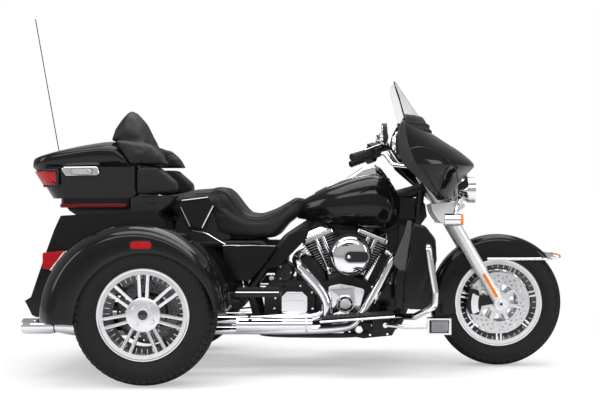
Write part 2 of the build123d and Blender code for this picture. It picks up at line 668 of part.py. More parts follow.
case_top = CASE_SPLIT_Z - LID_GAP / 2
top_case = case_loft(CASE_FOOT_Z, case_top, 0) - case_loft(
    CASE_FOOT_Z + CASE_WALL, case_top + 5, -CASE_WALL,
)
BASE_Z = 798.0
base_half = CASE_HALF_WIDTH - CASE_TAPER - 4.0
base = plan_slab([(R - 470, -base_half), (R - 130, -base_half), (R - 130, base_half), (R - 470, base_half)],
                 BASE_Z, CASE_FOOT_Z, 20)
feet = []
for foot_x in (R - 380, R - 180):
    for side in (-1, 1):
        points = [(foot_x - 35, trunk_top(foot_x - 35) + SEAT_GAP),
                  (foot_x + 35, trunk_top(foot_x + 35) + SEAT_GAP),
                  (foot_x + 35, BASE_Z + 2), (foot_x - 35, BASE_Z + 2)]
        feet.append(side_slab(points, side * 170 - 25, side * 170 + 25))
top_case = top_case + base + feet

lid_low = CASE_SPLIT_Z + LID_GAP / 2
lid_rows = [
    # x, height at the sides, height in the middle
    (R - CASE_REAR - 20, 1020, 1034),
    (R - 600, 1036, 1052),
    (R - 545, 1052, 1074),
    (R - 455, 1070, 1099),
    (R - 365, 1084, 1117),
    (R - 270, 1096, 1130),
    (R - 204, 1090, 1120),
]
LID_SLOPE = [(R - 204.4, 1120.4), (R - 123.8, 1006.0)]    # back of the backrest
lid_nose = [
    (R - 700, lid_low), (R - 700, 1200), (R - 260, 1200), (LID_SLOPE[0][0] - 0.5, 1120.4),
    (LID_SLOPE[1][0] - 0.5, 1006.0), (LID_SLOPE[1][0] + 1.9, lid_low),
]
inside_rows = [(x, side_z - CASE_WALL, mid_z - CASE_WALL) for x, side_z, mid_z in lid_rows]
lid_inside = [
    (R - 700, 960), (R - 700, 1200), (R - 260, 1200), (R - 218, 1120), (R - 136, 1005), (R - 136, 960),
]
lid_plan = extrude(case_outline(CASE_SPLIT_Z, 0), amount=200)
lid_plan_inside = extrude(case_outline(CASE_SPLIT_Z, -CASE_WALL), amount=200)
case_past = CASE_HALF_WIDTH + 88.0
roof_half = CASE_HALF_WIDTH + 8.0
case_lid = crowned_along_x(lid_rows + [(R - 60, 1080, 1104)], lid_low, roof_half) & lid_plan
case_lid = case_lid & side_slab(lid_nose, -case_past, case_past)
lid_hollow = crowned_along_x(
    inside_rows + [(R - 60, 1070, 1094)], 960.0, roof_half,
) & (Pos(0, 0, -30) * lid_plan_inside)
case_lid = case_lid - (lid_hollow & side_slab(lid_inside, -case_past, case_past))

LID_HINGE_Y = CASE_HALF_WIDTH + 20.0
LID_PIN_R = 3.0
for hinge_x in (R - 440.0, R - 220.0):
    low, high = hinge_x - 14, hinge_x + 14
    ear = [(LID_HINGE_Y - 4, CASE_SPLIT_Z + 4), (LID_HINGE_Y + 4, CASE_SPLIT_Z + 5),
           (CASE_HALF_WIDTH - 2, 1026),
           (CASE_HALF_WIDTH - 2, 1014)]
    case_lid = case_lid + cross_slab(ear, low, high)
    case_lid = case_lid + rod((low, LID_HINGE_Y, CASE_SPLIT_Z), (high, LID_HINGE_Y, CASE_SPLIT_Z), 7)
    case_lid = case_lid - rod(
        (low - 1, LID_HINGE_Y, CASE_SPLIT_Z), (high + 1, LID_HINGE_Y, CASE_SPLIT_Z), LID_PIN_R + RUN_GAP,
    )
    top_case = top_case + rod(
        (low - 20, LID_HINGE_Y, CASE_SPLIT_Z), (high + 20, LID_HINGE_Y, CASE_SPLIT_Z), LID_PIN_R,
    )
    for lug_low in (low - 22, high + 6):
        lug = [(LID_HINGE_Y + 6, CASE_SPLIT_Z + 5), (LID_HINGE_Y - 6, CASE_SPLIT_Z + 5),
               (LID_HINGE_Y - 15, 988),
               (CASE_HALF_WIDTH - 7, 975), (CASE_HALF_WIDTH - 7, 960)]
        top_case = top_case + cross_slab(lug, lug_low, lug_low + 16)

# Backrest with its wings, carried by the lid
PAD_FOOT_Z = 1006.0
pad_back = [(R - 123.8, PAD_FOOT_Z), (R - 204.4, 1120.4)]
HUMP_HALF = 150.0
hump_rows = [
    # y, then how far the top sinks and the front draws back
    (-HUMP_HALF, 96, 44), (-0.72 * HUMP_HALF, 32, 16), (0, 0, 0), (0.72 * HUMP_HALF, 32, 16),
    (HUMP_HALF, 96, 44),
]
wing_points = pad_back + [(R - 140, 1109), (R - 30, 1091), (R + 19, 1048), (R + 42, PAD_FOOT_Z)]
back_points = pad_back + [(R - 100, 1112), (R - 50, 1096), (R - 46, PAD_FOOT_Z)]
WING_OUT = CASE_HALF_WIDTH + 18.0
WING_IN = WING_OUT - 125.0
hump_faces = []
for y, sink, draw in hump_rows:
    points = [
        (R - 123.8, PAD_FOOT_Z), (R - 204.4, 1120.4), (R - 262, 1134), (R - 249, 1206 - 0.5 * sink),
        (R - 212, 1268 - sink), (R - 188, 1283 - sink), (R - 160, 1272 - sink),
        (R - 112 - 0.5 * draw, 1216 - 0.6 * sink),
        (R - 62 - draw, 1122), (R - 46 - draw, PAD_FOOT_Z),
    ]
    hump_faces.append(Plane.XZ.offset(-y) * outline(points))
backrest = loft(hump_faces, ruled=True) + side_slab(back_points, -WING_IN - 10, WING_IN + 10)
backrest = backrest + side_slab(wing_points, WING_IN, WING_OUT) + side_slab(
    wing_points, -WING_OUT, -WING_IN,
)
pod_back = R - CASE_FRONT + SEAT_GAP
pod_points = [(pod_back, 992), (R + 7, 992), (R + 86, 921), (R + 92, 872), (pod_back, 857)]
speaker_pods = both(side_slab(pod_points, WING_IN + 5, WING_OUT, 14))
case_latch = side_slab([(R - 462, 992), (R - 280, 994), (R - 268, 952), (R - 430, 950)],
                       -CASE_HALF_WIDTH - 16, 17 - CASE_HALF_WIDTH, 12)
case_latch = case_latch - case_loft(CASE_FOOT_Z, CASE_SPLIT_Z, SEAT_GAP)
ANTENNA_Y = CASE_HALF_WIDTH + 18.0
antenna_foot = (R - 610, ANTENNA_Y, 890)
antenna_tip = (R - REAR_REACH + 2.5, ANTENNA_Y, 1812)
antenna = rod(antenna_foot, antenna_tip, 2.5) + rod((R - 604, ANTENNA_Y, 860), antenna_foot, 9)
antenna_arm = [(R - 604, ANTENNA_Y, 866), (R - 540, ANTENNA_Y - 12, 866), (R - 470, ANTENNA_Y - 36, 866),
               (R - 410, ANTENNA_Y - 39, 866)]
antenna = antenna + bent_tube(antenna_arm, 8, 20)
antenna = antenna - case_loft(CASE_FOOT_Z, case_top, SEAT_GAP)

# Red lamps: case corners, bar under the case, tail lamps, side markers
corner_lamp = case_loft(908, 972, 9) - case_loft(CASE_FOOT_Z, case_top, SEAT_GAP)
corner_lamp = corner_lamp & (Pos(R - 600, CASE_HALF_WIDTH - 62, 940) * Box(238, 260, 200))
bar_lamp = Pos(R - 310, base_half + SEAT_GAP + 4, BASE_Z + 10) * Box(318, 8, 18)
tail_points = [(R - 490, 592), (R - 340, 604), (R - 340, 560), (R - 420, 510), (R - 490, 520)]
tail_lamp = side_slab(tail_points, fender_in, fender_in + 60)
tail_lamp = tail_lamp - rod((FENDER_AT[0], fender_in - 40, FENDER_AT[1]),
                            (FENDER_AT[0], FENDER_SHOULDER + 20, FENDER_AT[1]), FENDER_R + SEAT_GAP)
marker_points = [(R - 47, 620), (R + 46, 620), (R + 46, 651), (R - 47, 651)]
marker = side_slab(marker_points, FENDER_OUT + SEAT_GAP, BODY_WIDTH / 2, 15)
red_lenses = both(corner_lamp) + both(bar_lamp) + both(tail_lamp) + both(marker)

# Lower fairings, engine guard, footboards and foot controls
LOWER_IN = 205.0
LOWER_OUT = 362.0
lower_points = [
    (E + 312, 690), (E + 322, 730), (E + 380, 712), (E + 428, 650), (E + 434, 545), (E + 375, 425),
    (E + 361, 350),
    (E + 352, 322), (E + 268, 318), (E + 278, 495), (E + 300, 565),
]
lower_fairing = side_slab(lower_points, LOWER_IN, LOWER_OUT, 10)
lower_fairing = lower_fairing - plan_slab(
    [(E + 330, 150), (E + 460, 150), (E + 460, 262), (E + 390, 262)], 200, 800,
)
SIGNAL_Y = 270.0
SIGNAL_Z = 740.0
SIGNAL_R = 29.0
signal_back = A - 293.0
signal_front = A - 218.0
lens_front = A - 204.0
axis_up = Vector(-sin(radians(RAKE)), 0, cos(radians(RAKE)))
axis_ahead = Vector(cos(radians(RAKE)), 0, sin(radians(RAKE)))
swing_far = (lens_front - signal_back) / 2 + SIGNAL_R / 2
swing_in = SIGNAL_Y - SIGNAL_R - MOVE_GAP
swing_out = ((SIGNAL_Y + SIGNAL_R) ** 2 + swing_far ** 2) ** 0.5 + MOVE_GAP
swing_mid = Plane(origin=(steer_x(SIGNAL_Z), 0, SIGNAL_Z), x_dir=axis_ahead, z_dir=axis_up)
swing_half = SIGNAL_R + (lens_front - signal_back) / 2 * sin(radians(RAKE)) + MOVE_GAP
swing = swing_mid * (Cylinder(swing_out, 2 * swing_half) - Cylinder(swing_in, 2 * swing_half))
lower_fairing = (lower_fairing - swing).solids().sort_by(SortBy.VOLUME)[-1]
GUARD_R = 16.0
guard_y = LOWER_OUT + GUARD_R + 9
guard = bent_tube(
    [(E + 389, LOWER_OUT + SEAT_GAP, 616), (E + 389, guard_y, 616), (E + 406, guard_y, 500),
     (E + 422, guard_y, 400),
     (E + 418, guard_y, 335), (E + 330, 320, 279), (E + 250, RAIL_HALF - 15, 256)], GUARD_R, 22)
engine_guard = both((guard - side_room).solids().sort_by(Axis.Y)[-1])
board = side_slab([(E - 119, 258), (E + 231, 284), (E + 232, 296), (E - 119, 272)], 256, 420)
board_arm = side_slab(
    [(E + 130, 198), (E + 200, 198), (E + 215, 286), (E + 130, 280)], RAIL_HALF + RAIL_R + SEAT_GAP, 300,
)
board = board + board_arm
rear_board = side_slab([(E - 515, 384), (E - 302, 384), (E - 302, 412), (E - 515, 412)], 345, 455, 8)
rear_board = rear_board + rod((E - 462, 160, 398), (E - 462, 380, 398), 9) - side_room
footboards = both(board) + both(rear_board)
pedal = bent_tube([(E + 190, 330, 240), (E + 300, 380, 236), (E + 385, 405, 240)], 9, 40)
pedal = pedal + Pos(E + 436, 405, 246) * Box(112, 70, 76)
pedal = mirror(pedal + rod((E + 190, 300.3, 240), (E + 190, 340, 240), 12), about=Plane.XZ)
shifter = rod((E + 190, 300.3, 240), (E + 190, 340, 240), 12) + bent_tube(
    [(E + 190, 330, 240), (E + 240, 400, 262), (E + 330, 410, 300)], 8, 30)
shifter = shifter + rod((E + 330, 385, 300), (E + 330, 450, 300), 12)

# Fork: legs, clamps, axle, calipers and fender
LAMP_Z = 914.0
LAMP_R = 86.0
LAMP_FRONT = A - 160
lamp_back = LAMP_FRONT - 72
fork_up = Vector(-sin(radians(FORK_LEAN)), 0, cos(radians(FORK_LEAN)))


def leg_point(z):
    """Middle of the left fork leg at a height."""
    return (fork_x(z), FORK_HALF, z)


axle_hole = rod((A, 0, FRONT_TYRE_R), (A, 200, FRONT_TYRE_R), FRONT_AXLE_R + RUN_GAP)
slider_z = FRONT_TYRE_R + 160.0
leg = rod(leg_point(FRONT_TYRE_R - 20), leg_point(slider_z), FORK_R - 3)
leg = leg + rod(leg_point(slider_z), leg_point(FORK_TOP_Z), FORK_R)
leg = leg + rod((A, FORK_HALF - 30, FRONT_TYRE_R), (A, FORK_HALF + 28, FRONT_TYRE_R), 33) - axle_hole
front_axle = rod((A, -FORK_HALF - 24, FRONT_TYRE_R), (A, FORK_HALF + 24, FRONT_TYRE_R), FRONT_AXLE_R)


def clamp(foot):
    """A clamp plate across the steering axis, from its lower face."""
    plane = Plane(origin=foot, x_dir=axis_ahead, z_dir=axis_up)
    return extrude(plane * RectangleRounded(CLAMP_DEEP, 2 * FORK_HALF + 72, 30), amount=CLAMP_THICK)


stem_low = Vector(*neck_low) - axis_up * (MOVE_GAP + CLAMP_THICK)
stem_high = Vector(*neck_high) + axis_up * MOVE_GAP
leg_room = both(rod(leg_point(600), leg_point(1100), FORK_R + SEAT_GAP))
bar_at = stem_high + axis_up * (CLAMP_THICK + 26)
BAR_R = 12.7
risers = []
for side in (-1, 1):
    out = Vector(0, 52 * side, 0)
    risers.append(
        rod(
            tuple(stem_high + axis_up * CLAMP_THICK + out),
            tuple(bar_at - axis_up * (BAR_R + SEAT_GAP) + out), 17,
        )
    )
lamp_arms = []
for side in (-1, 1):
    root = stem_high + axis_up * 15 + axis_ahead * 30 + Vector(0, 58 * side, 0)
    lamp_arms.append(rod(tuple(root), (lamp_back + 20, 58 * side, LAMP_Z + 18), 8))
lamp_room = rod((lamp_back - SEAT_GAP, 0, LAMP_Z), (LAMP_FRONT, 0, LAMP_Z), LAMP_R + 20)
triple_clamps = clamp(stem_low) + clamp(stem_high) + rod(
    tuple(stem_low), tuple(stem_high), STEM_R,
) + risers + lamp_arms - leg_room - lamp_room

disc_back = A - FRONT_DISC_R
hub_z = FRONT_TYRE_R
caliper_points = [
    (disc_back - 13, hub_z - 20), (disc_back + 5, hub_z - 52), (disc_back + 50, hub_z - 58),
    (disc_back + 63, hub_z - 20), (disc_back + 50, hub_z + 65), (disc_back + 5, hub_z + 75),
]
caliper = side_slab(caliper_points, 36, 98, 10)
caliper_arm = [
    (disc_back + 35, hub_z - 20), (A - 20, hub_z), (A - 20, hub_z + 32), (disc_back + 35, hub_z + 40),
]
caliper = caliper + side_slab(caliper_arm, 80, 98)
disc_room = rod(
    (A, FRONT_HUB_HALF - 5.5, FRONT_TYRE_R), (A, FRONT_HUB_HALF + DISC_THICK + 5.5, FRONT_TYRE_R),
    FRONT_DISC_R + 6,
)
caliper = caliper - disc_room - rod(leg_point(hub_z - 120), leg_point(slider_z), FORK_R - 3 + SEAT_GAP)
caliper = caliper - rod((A, 0, FRONT_TYRE_R), (A, 300, FRONT_TYRE_R), 33 + SEAT_GAP)

FENDER_TOP = FRONT_TYRE_R + 23.0
FENDER_HEM = FENDER_TOP - 121.0
FENDER_HALF = 76.0
t = 5.0
fender_section = [
    (FENDER_HEM, -FENDER_HALF), (FENDER_TOP - 24, -FENDER_HALF), (FENDER_TOP, -FENDER_HALF + 26),
    (FENDER_TOP, FENDER_HALF - 26),
    (FENDER_TOP - 24, FENDER_HALF), (FENDER_HEM, FENDER_HALF), (FENDER_HEM, FENDER_HALF - t),
    (FENDER_TOP - 26, FENDER_HALF - t),
    (FENDER_TOP - t, FENDER_HALF - 28), (FENDER_TOP - t, 28 - FENDER_HALF),
    (FENDER_TOP - 26, t - FENDER_HALF),
    (FENDER_HEM, t - FENDER_HALF),
]
FENDER_FRONT = 30.0
FENDER_BACK = 193.0
front_fender = revolve(outline(fender_section), axis=Axis.Y, revolution_arc=-(FENDER_BACK - FENDER_FRONT))
front_fender = front_place * Rot(0, -FENDER_FRONT, 0) * front_fender
hem_z = FRONT_TYRE_R + 216.0
ahead_of_fork = [
    (A - 66, hem_z), (A - 66, hem_z - 150), (A + FRONT_REACH + 50, hem_z - 150),
    (A + FRONT_REACH + 50, hem_z),
]
front_fender = front_fender - side_slab(ahead_of_fork, -FENDER_HALF - 20, FENDER_HALF + 20)
edge_x = A + (FENDER_TOP ** 2 - (hem_z - FRONT_TYRE_R) ** 2) ** 0.5
edge_z = hem_z
tip_points = [
    (edge_x - 22, edge_z + 26), (edge_x - 16, edge_z), (A + FRONT_REACH - 6, edge_z),
    (A + FRONT_REACH, edge_z + 6), (A + FRONT_REACH - 20, edge_z + 24),
]
front_fender = front_fender + side_slab(tip_points, -48, 48)
boss_z = FRONT_TYRE_R + 225.0
for side in (-1, 1):
    start = (fork_x(boss_z), side * (FENDER_HALF - 2), boss_z)
    front_fender = front_fender + rod(
        start, (fork_x(boss_z), side * (FORK_HALF - FORK_R - SEAT_GAP), boss_z), 18,
    )

# Fairing that turns with the fork, its dash, the windshield and the lamps
fairing_rows = [
    # z, nose x, rear edge x, half width
    (833, 838, 741, 262),
    (892, 868, 684, 336),
    (948, 888, 626, 392),
    (984, 930, 588, 412),
    (1006, 946, 568, 418),
    (1062, 893, 549, 420),
    (1120, 806, 541, 412),
    (1187, 700, 552, 372),
    (1228, 628, 572, 300),
]


def fairing_bulk(rows, skin):
    """The fairing form through level sections, each an arc from edge to edge, less any skin."""
    faces = []
    for z, nose, edge, half in rows:
        back = edge - 60 * (skin > 0)
        half = half - skin
        arc = ThreePointArc((edge, -half, z), (nose - skin, 0, z), (edge, half, z))
        rest = Polyline((edge, half, z), (back, half, z), (back, -half, z),
            (edge, -half, z)) if skin else Line(
            (edge, half, z), (edge, -half, z))
        faces.append(make_face([arc, rest]))
    return loft(faces, ruled=True)


FAIRING_SKIN = 7.0
rows_inside = [(fairing_rows[0][0] - 1,) + fairing_rows[0][1:]] + fairing_rows[1:-1]
rows_inside = rows_inside + [(fairing_rows[-1][0] - FAIRING_SKIN,) + fairing_rows[-1][1:]]
fairing_form = fairing_bulk(fairing_rows, 0)
fairing = fairing_form - fairing_bulk(rows_inside, FAIRING_SKIN)
fairing = fairing - rod((A - 300, 0, LAMP_Z), (A, 0, LAMP_Z), LAMP_R + SEAT_GAP)
dash_rows = [
    (z, edge + 40 + FAIRING_SKIN, edge + 4, half - SEAT_GAP)
    for z, nose, edge, half in fairing_rows if 1040 < z < 1200
]
dash_rows = [(1040, 558 + 40, 558, 419 - SEAT_GAP)] + dash_rows
inner_fairing = fairing_bulk(
    [(z, nose, edge, half - FAIRING_SKIN - 3) for z, nose, edge, half in dash_rows], 0
)
shield_rows = [
    # z, middle x, side edge x, half width
    (1190, 714, 588, 285),
    (1318, 622, 556, 255),
    (1428, 548, 524, 150),
]


def shield_face(z, nose, edge, half, thick):
    """A level section of the windshield."""
    front = ThreePointArc((edge, -half, z), (nose, 0, z), (edge, half, z))
    back = ThreePointArc((edge - thick, half, z), (nose - thick, 0, z), (edge - thick, -half, z))
    return make_face(
        [
            front, Line((edge, half, z), (edge - thick, half, z)), back,
            Line((edge - thick, -half, z), (edge, -half, z)),
        ]
    )


windshield = loft([shield_face(*row, 6.0) for row in shield_rows], ruled=True) - fairing_form
windshield = windshield.solids().sort_by(Axis.Z)[-1]

head_lamp = rod((lamp_back, 0, LAMP_Z), (LAMP_FRONT, 0, LAMP_Z), LAMP_R)
head_lamp = head_lamp - rod((LAMP_FRONT - 20, 0, LAMP_Z), (LAMP_FRONT + 1, 0, LAMP_Z), LAMP_R - 9)
head_lens = rod(
    (LAMP_FRONT - 20 + SEAT_GAP, 0, LAMP_Z), (LAMP_FRONT - 2, 0, LAMP_Z), LAMP_R - 9 - SEAT_GAP,
)
PASSING_Y = 250.0
PASSING_Z = 883.0
PASSING_R = 62.0
passing_front = A - 146
passing = cone(
    (passing_front - 80, PASSING_Y, PASSING_Z), (passing_front - 36, PASSING_Y, PASSING_Z), 24, PASSING_R,
)
passing = passing + rod(
    (passing_front - 36, PASSING_Y, PASSING_Z), (passing_front, PASSING_Y, PASSING_Z), PASSING_R,
)
passing = passing - rod(
    (passing_front - 15, PASSING_Y, PASSING_Z), (passing_front + 1, PASSING_Y, PASSING_Z), PASSING_R - 7,
)
passing_lens = rod((passing_front - 15 + SEAT_GAP, PASSING_Y, PASSING_Z),
                   (passing_front - 2, PASSING_Y, PASSING_Z),
                   PASSING_R - 7 - SEAT_GAP)
LAMP_BAR_R = 10.0
lamp_bar_at = stem_low + axis_ahead * (
    CLAMP_DEEP / 2 + LAMP_BAR_R + SEAT_GAP
) + axis_up * (LAMP_BAR_R - 4)
lamp_bar_x = lamp_bar_at.X
lamp_bar_z = lamp_bar_at.Z
lamp_bar = rod(
    (lamp_bar_x, -PASSING_Y - 10, lamp_bar_z), (lamp_bar_x, PASSING_Y + 10, lamp_bar_z), LAMP_BAR_R,
)
signal = rod((signal_back, SIGNAL_Y, SIGNAL_Z), (signal_front, SIGNAL_Y, SIGNAL_Z), SIGNAL_R)
stalks = both(
    rod((lamp_bar_x, PASSING_Y, lamp_bar_z), (passing_front - 50, PASSING_Y, PASSING_Z - 20), 9)
)
stalks = stalks + both(rod((lamp_bar_x, PASSING_Y, lamp_bar_z), (A - 250, SIGNAL_Y, SIGNAL_Z + 10), 9))
lamp_tree = lamp_bar + both(passing) + both(signal) + stalks
signal_lens = rod(
    (signal_front + SEAT_GAP, SIGNAL_Y, SIGNAL_Z), (lens_front, SIGNAL_Y, SIGNAL_Z), SIGNAL_R - 3,
)
reflector = Plane(
    origin=leg_point(FRONT_TYRE_R + 92), x_dir=(0, 1, 0), z_dir=fork_up,
) * Pos(FORK_R - 3 + SEAT_GAP + 2, 0, 0) * Box(4, 16, 130)
amber_lenses = both(signal_lens) + both(reflector)

# Handlebar, grips, levers and mirrors
bar_x = bar_at.X
bar_z = bar_at.Z
grip_foot = Vector(E + 118, 355, 1062)
grip_end = Vector(E + 29, 436, 1032)
grip_way = (grip_end - grip_foot).normalized()
switch_foot = grip_foot - grip_way * 48
bar_end = switch_foot - grip_way * SEAT_GAP
half_bar = [
    (bar_x, 0, bar_z), (bar_x, 130, bar_z), (bar_x - 142, 226, bar_z + 17), (bar_x - 182, 274, 1082),
    tuple(bar_end - grip_way * 40), tuple(bar_end),
]
other_half = [(x, -y, z) for x, y, z in half_bar]
handlebar = bent_tube(list(reversed(other_half))[:-1] + half_bar[1:], BAR_R, 28)
grip = rod(tuple(grip_foot), tuple(grip_end), 17) + rod(tuple(switch_foot), tuple(grip_foot), 24)
lever_root = switch_foot + Vector(22, 6, 26)
lever = rod(tuple(lever_root), tuple(lever_root + grip_way * 150 + Vector(20, 0, 0)), 6)
perch_at = switch_foot - grip_way * 34 + Vector(0, 0, BAR_R + 13)
lever = lever + Pos(*tuple(perch_at)) * Box(44, 44, 22) + rod(tuple(perch_at), tuple(lever_root), 9)
reservoir = rod((perch_at.X, perch_at.Y, perch_at.Z), (perch_at.X + 8, perch_at.Y, 1141), 21)
lever = lever + reservoir
mirror_mid = Vector(E + 172, 415, 1148)
mirror_head = Plane(
    origin=tuple(mirror_mid), x_dir=(0, 1, 0), z_dir=(1, 0, 0.06),
) * RectangleRounded(140, 84, 38)
mirror_head = extrude(mirror_head, amount=22)
mirror_head = mirror_head + bent_tube(
    [
        (perch_at.X + 14, perch_at.Y + 22 + SEAT_GAP, perch_at.Z), (E + 184, 395, perch_at.Z + 4),
        (E + 184, 412, 1140),
    ],
    6, 14,
)

os.makedirs("parts", exist_ok=True)
nodes = {
    "frame": [frame],
    "rear_axle": [rear_axle],
    "rear_shocks": both(shock),
    "drive_belt": [belt],
    "engine_case": [engine_case],
    "cylinders": cylinders,
    "rocker_covers": rocker_covers,
    "pushrod_tubes": pushrod_tubes,
    "engine_covers": [cam_cover, gear_cover],
    "air_cleaner": [air_cleaner],
    "primary_case": [primary_case],
    "gearbox": [gearbox],
    "exhaust_pipes": [rear_pipe, front_pipe],
    "mufflers": both(muffler),
    "fuel_tank": [fuel_tank],
    "tank_console": [tank_console],
    "seat": [seat],
    "side_panels": side_panels,
    "trunk_body": [trunk_body],
    "trunk_door": [trunk_door],
    "rear_fenders": both(rear_fender),
    "top_case": [top_case],
    "case_lid": [case_lid],
    "backrest": [backrest],
    "speaker_pods": speaker_pods,
    "case_latch": [case_latch],
    "antenna": [antenna],
    "red_lenses": red_lenses,
    "lower_fairings": both(lower_fairing),
    "engine_guard": engine_guard,
    "footboards": footboards,
    "foot_controls": [pedal, shifter],
    "fork_legs": both(leg),
    "triple_clamps": [triple_clamps],
    "front_axle": [front_axle],
    "calipers": both(caliper),
    "front_fender": [front_fender],
    "fairing": [fairing],
    "inner_fairing": [inner_fairing],
    "windshield": [windshield],
    "lamp_shells": [head_lamp, lamp_tree],
    "lamp_lenses": [head_lens] + both(passing_lens),
    "amber_lenses": amber_lenses,
    "handlebar": [handlebar],
    "grips": both(grip),
    "levers": both(lever),
    "mirrors": both(mirror_head),
    "front_rim": [front_rim],
    "front_tyre": [front_tyre],
    "front_discs": both(front_disc),
    "rear_rim_left": [rear_rim],
    "rear_tyre_left": [rear_tyre],
    "rear_disc_left": [rear_disc],
    "rear_rim_right": [mirror(rear_rim, about=Plane.XZ)],
    "rear_tyre_right": [mirror(rear_tyre, about=Plane.XZ)],
    "rear_disc_right": [mirror(rear_disc, about=Plane.XZ)],
}
for name, pieces in nodes.items():
    save(name, pieces)
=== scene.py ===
# %% [markdown]
# # A touring trike, dressed on its exact frame
# The machine is a two-cylinder touring motorcycle whose rear wheel has given way to an axle with two
# car-size wheels under wide fenders, a trunk between them and a top case above. The solid model already
# holds every size. This lesson gives the solids their pressed curves, paint, chrome, leather and glass, and
# adds the small things that make a machine look real. Everything is in metres: X ahead, Y left, Z up.

# %% Load the solid frame
import bmesh
import bpy
import json
from math import asin, atan2, cos, pi, radians, sin, sqrt
from mathutils import Matrix, Vector
from mathutils.bvhtree import BVHTree


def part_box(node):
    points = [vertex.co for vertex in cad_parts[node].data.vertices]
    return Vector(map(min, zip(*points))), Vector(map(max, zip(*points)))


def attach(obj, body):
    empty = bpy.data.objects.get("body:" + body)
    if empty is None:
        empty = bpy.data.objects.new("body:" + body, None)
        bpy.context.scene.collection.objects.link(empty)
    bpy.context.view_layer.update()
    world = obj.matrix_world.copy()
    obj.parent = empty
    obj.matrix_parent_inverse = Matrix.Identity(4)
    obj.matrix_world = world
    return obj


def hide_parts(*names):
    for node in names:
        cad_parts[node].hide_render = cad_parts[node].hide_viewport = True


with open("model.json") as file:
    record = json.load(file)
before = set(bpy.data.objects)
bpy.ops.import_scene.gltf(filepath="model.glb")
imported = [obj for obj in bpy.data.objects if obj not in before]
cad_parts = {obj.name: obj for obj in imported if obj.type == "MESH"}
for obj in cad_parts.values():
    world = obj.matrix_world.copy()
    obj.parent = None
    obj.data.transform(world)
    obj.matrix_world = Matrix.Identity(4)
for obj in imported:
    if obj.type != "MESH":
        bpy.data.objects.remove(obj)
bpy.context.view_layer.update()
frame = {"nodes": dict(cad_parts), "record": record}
nodes = frame["nodes"]
bodies_of = {n: b for b, names in frame["record"]["behaviour"]["bodies"].items() for n in names}
slots_of = {s["node"]: s["material_slot"] for s in frame["record"]["subparts"]}
scene = bpy.context.scene


def middle(node):
    """Centre of a solid's box."""
    low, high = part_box(node)
    return (Vector(low) + Vector(high)) / 2


front_hub = middle("front_tyre")
rear_hub = middle("rear_tyre_left")
FRONT, REAR = front_hub.x, rear_hub.x
CRANK = REAR + 0.9
print("nodes", len(nodes), "front axle", round(FRONT, 4), "rear axle", round(REAR, 4))

# %% [markdown]
# ## Camera, floor and light
# The machine stands side-on in a white studio, seen from just below the height of the tank. A level camera
# with a small sideways shift keeps uprights upright, as a view camera does. Black paint shows what stands
# round it, so the paint sees a grey room, lightest on the camera's side, and only the eye sees plain white.

# %% Camera at the photograph's place
camera_data = bpy.data.cameras.new("studio_camera")
camera = bpy.data.objects.new("studio_camera", camera_data)
scene.collection.objects.link(camera)
PHOTO_WIDE, FOCAL = 600, 1016  # pixels
camera.location = (0.2915, -5.16, 0.83)
camera.rotation_euler = (radians(90), 0, 0)
camera_data.sensor_width = 36.0
camera_data.lens = camera_data.sensor_width * FOCAL / PHOTO_WIDE
camera_data.shift_x = -45 / PHOTO_WIDE
camera_data.shift_y = 1 / PHOTO_WIDE
camera_data.clip_end = 100
scene.camera = camera
scene.view_settings.view_transform = "Standard"
print("lens", round(camera_data.lens, 2))


# %% A room that is white to the eye and grey to the paint
def add_node(tree, kind, inputs=(), **settings):
    """One node with its settings, and inputs given as (socket on it, value or output that feeds it)."""
    node = tree.nodes.new(kind)
    for key, value in settings.items():
        setattr(node, key, value)
    for socket, source in inputs:
        if isinstance(source, bpy.types.NodeSocket):
            tree.links.new(source, node.inputs[socket])
        else:
            node.inputs[socket].default_value = source
    return node


def ramp_node(tree, source, stops):
    """A colour ramp with stops of (place, grey)."""
    ramp = add_node(tree, "ShaderNodeValToRGB", [("Fac", source)])
    for index, (place, grey) in enumerate(stops):
        stop = ramp.color_ramp.elements[index] if index < 2 else ramp.color_ramp.elements.new(place)
        stop.position = place
        stop.color = (grey, grey, grey, 1)
    return ramp


world = bpy.data.worlds.new("white_studio")
world.use_nodes = True
scene.world = world
tree = world.node_tree
place = add_node(tree, "ShaderNodeTexCoord")
parts = add_node(tree, "ShaderNodeSeparateXYZ", [(0, place.outputs["Generated"])])
depth = add_node(tree, "ShaderNodeMapRange", [("Value", parts.outputs["Y"]), ("From Min", -1.0)])
height = add_node(tree, "ShaderNodeMapRange", [("Value", parts.outputs["Z"]), ("From Min", -1.0)])
walls = ramp_node(tree, depth.outputs[0], [(0.0, 0.55), (1.0, 0.34), (0.30, 0.40), (0.55, 0.34)])
sky = ramp_node(tree, height.outputs[0], [(0.0, 0.0), (1.0, 0.40), (0.66, 0.0), (0.80, 0.34)])
room = add_node(tree, "ShaderNodeMix", [("Factor", 1.0), (6, walls.outputs[0]), (7, sky.outputs[0])],
                data_type="RGBA", blend_type="LIGHTEN")
rays = add_node(tree, "ShaderNodeLightPath")
seen = add_node(tree, "ShaderNodeMath",
                [(0, rays.outputs["Is Camera Ray"]), (1, rays.outputs["Is Transmission Ray"])],
                operation="MAXIMUM")
shown = add_node(tree, "ShaderNodeMix",
                 [("Factor", seen.outputs[0]), (6, room.outputs[2]), (7, (1, 1, 1, 1))], data_type="RGBA")
tree.links.new(shown.outputs[2], tree.nodes["Background"].inputs["Color"])
tree.nodes["Background"].inputs["Strength"].default_value = 1.0
print("room nodes", len(tree.nodes))

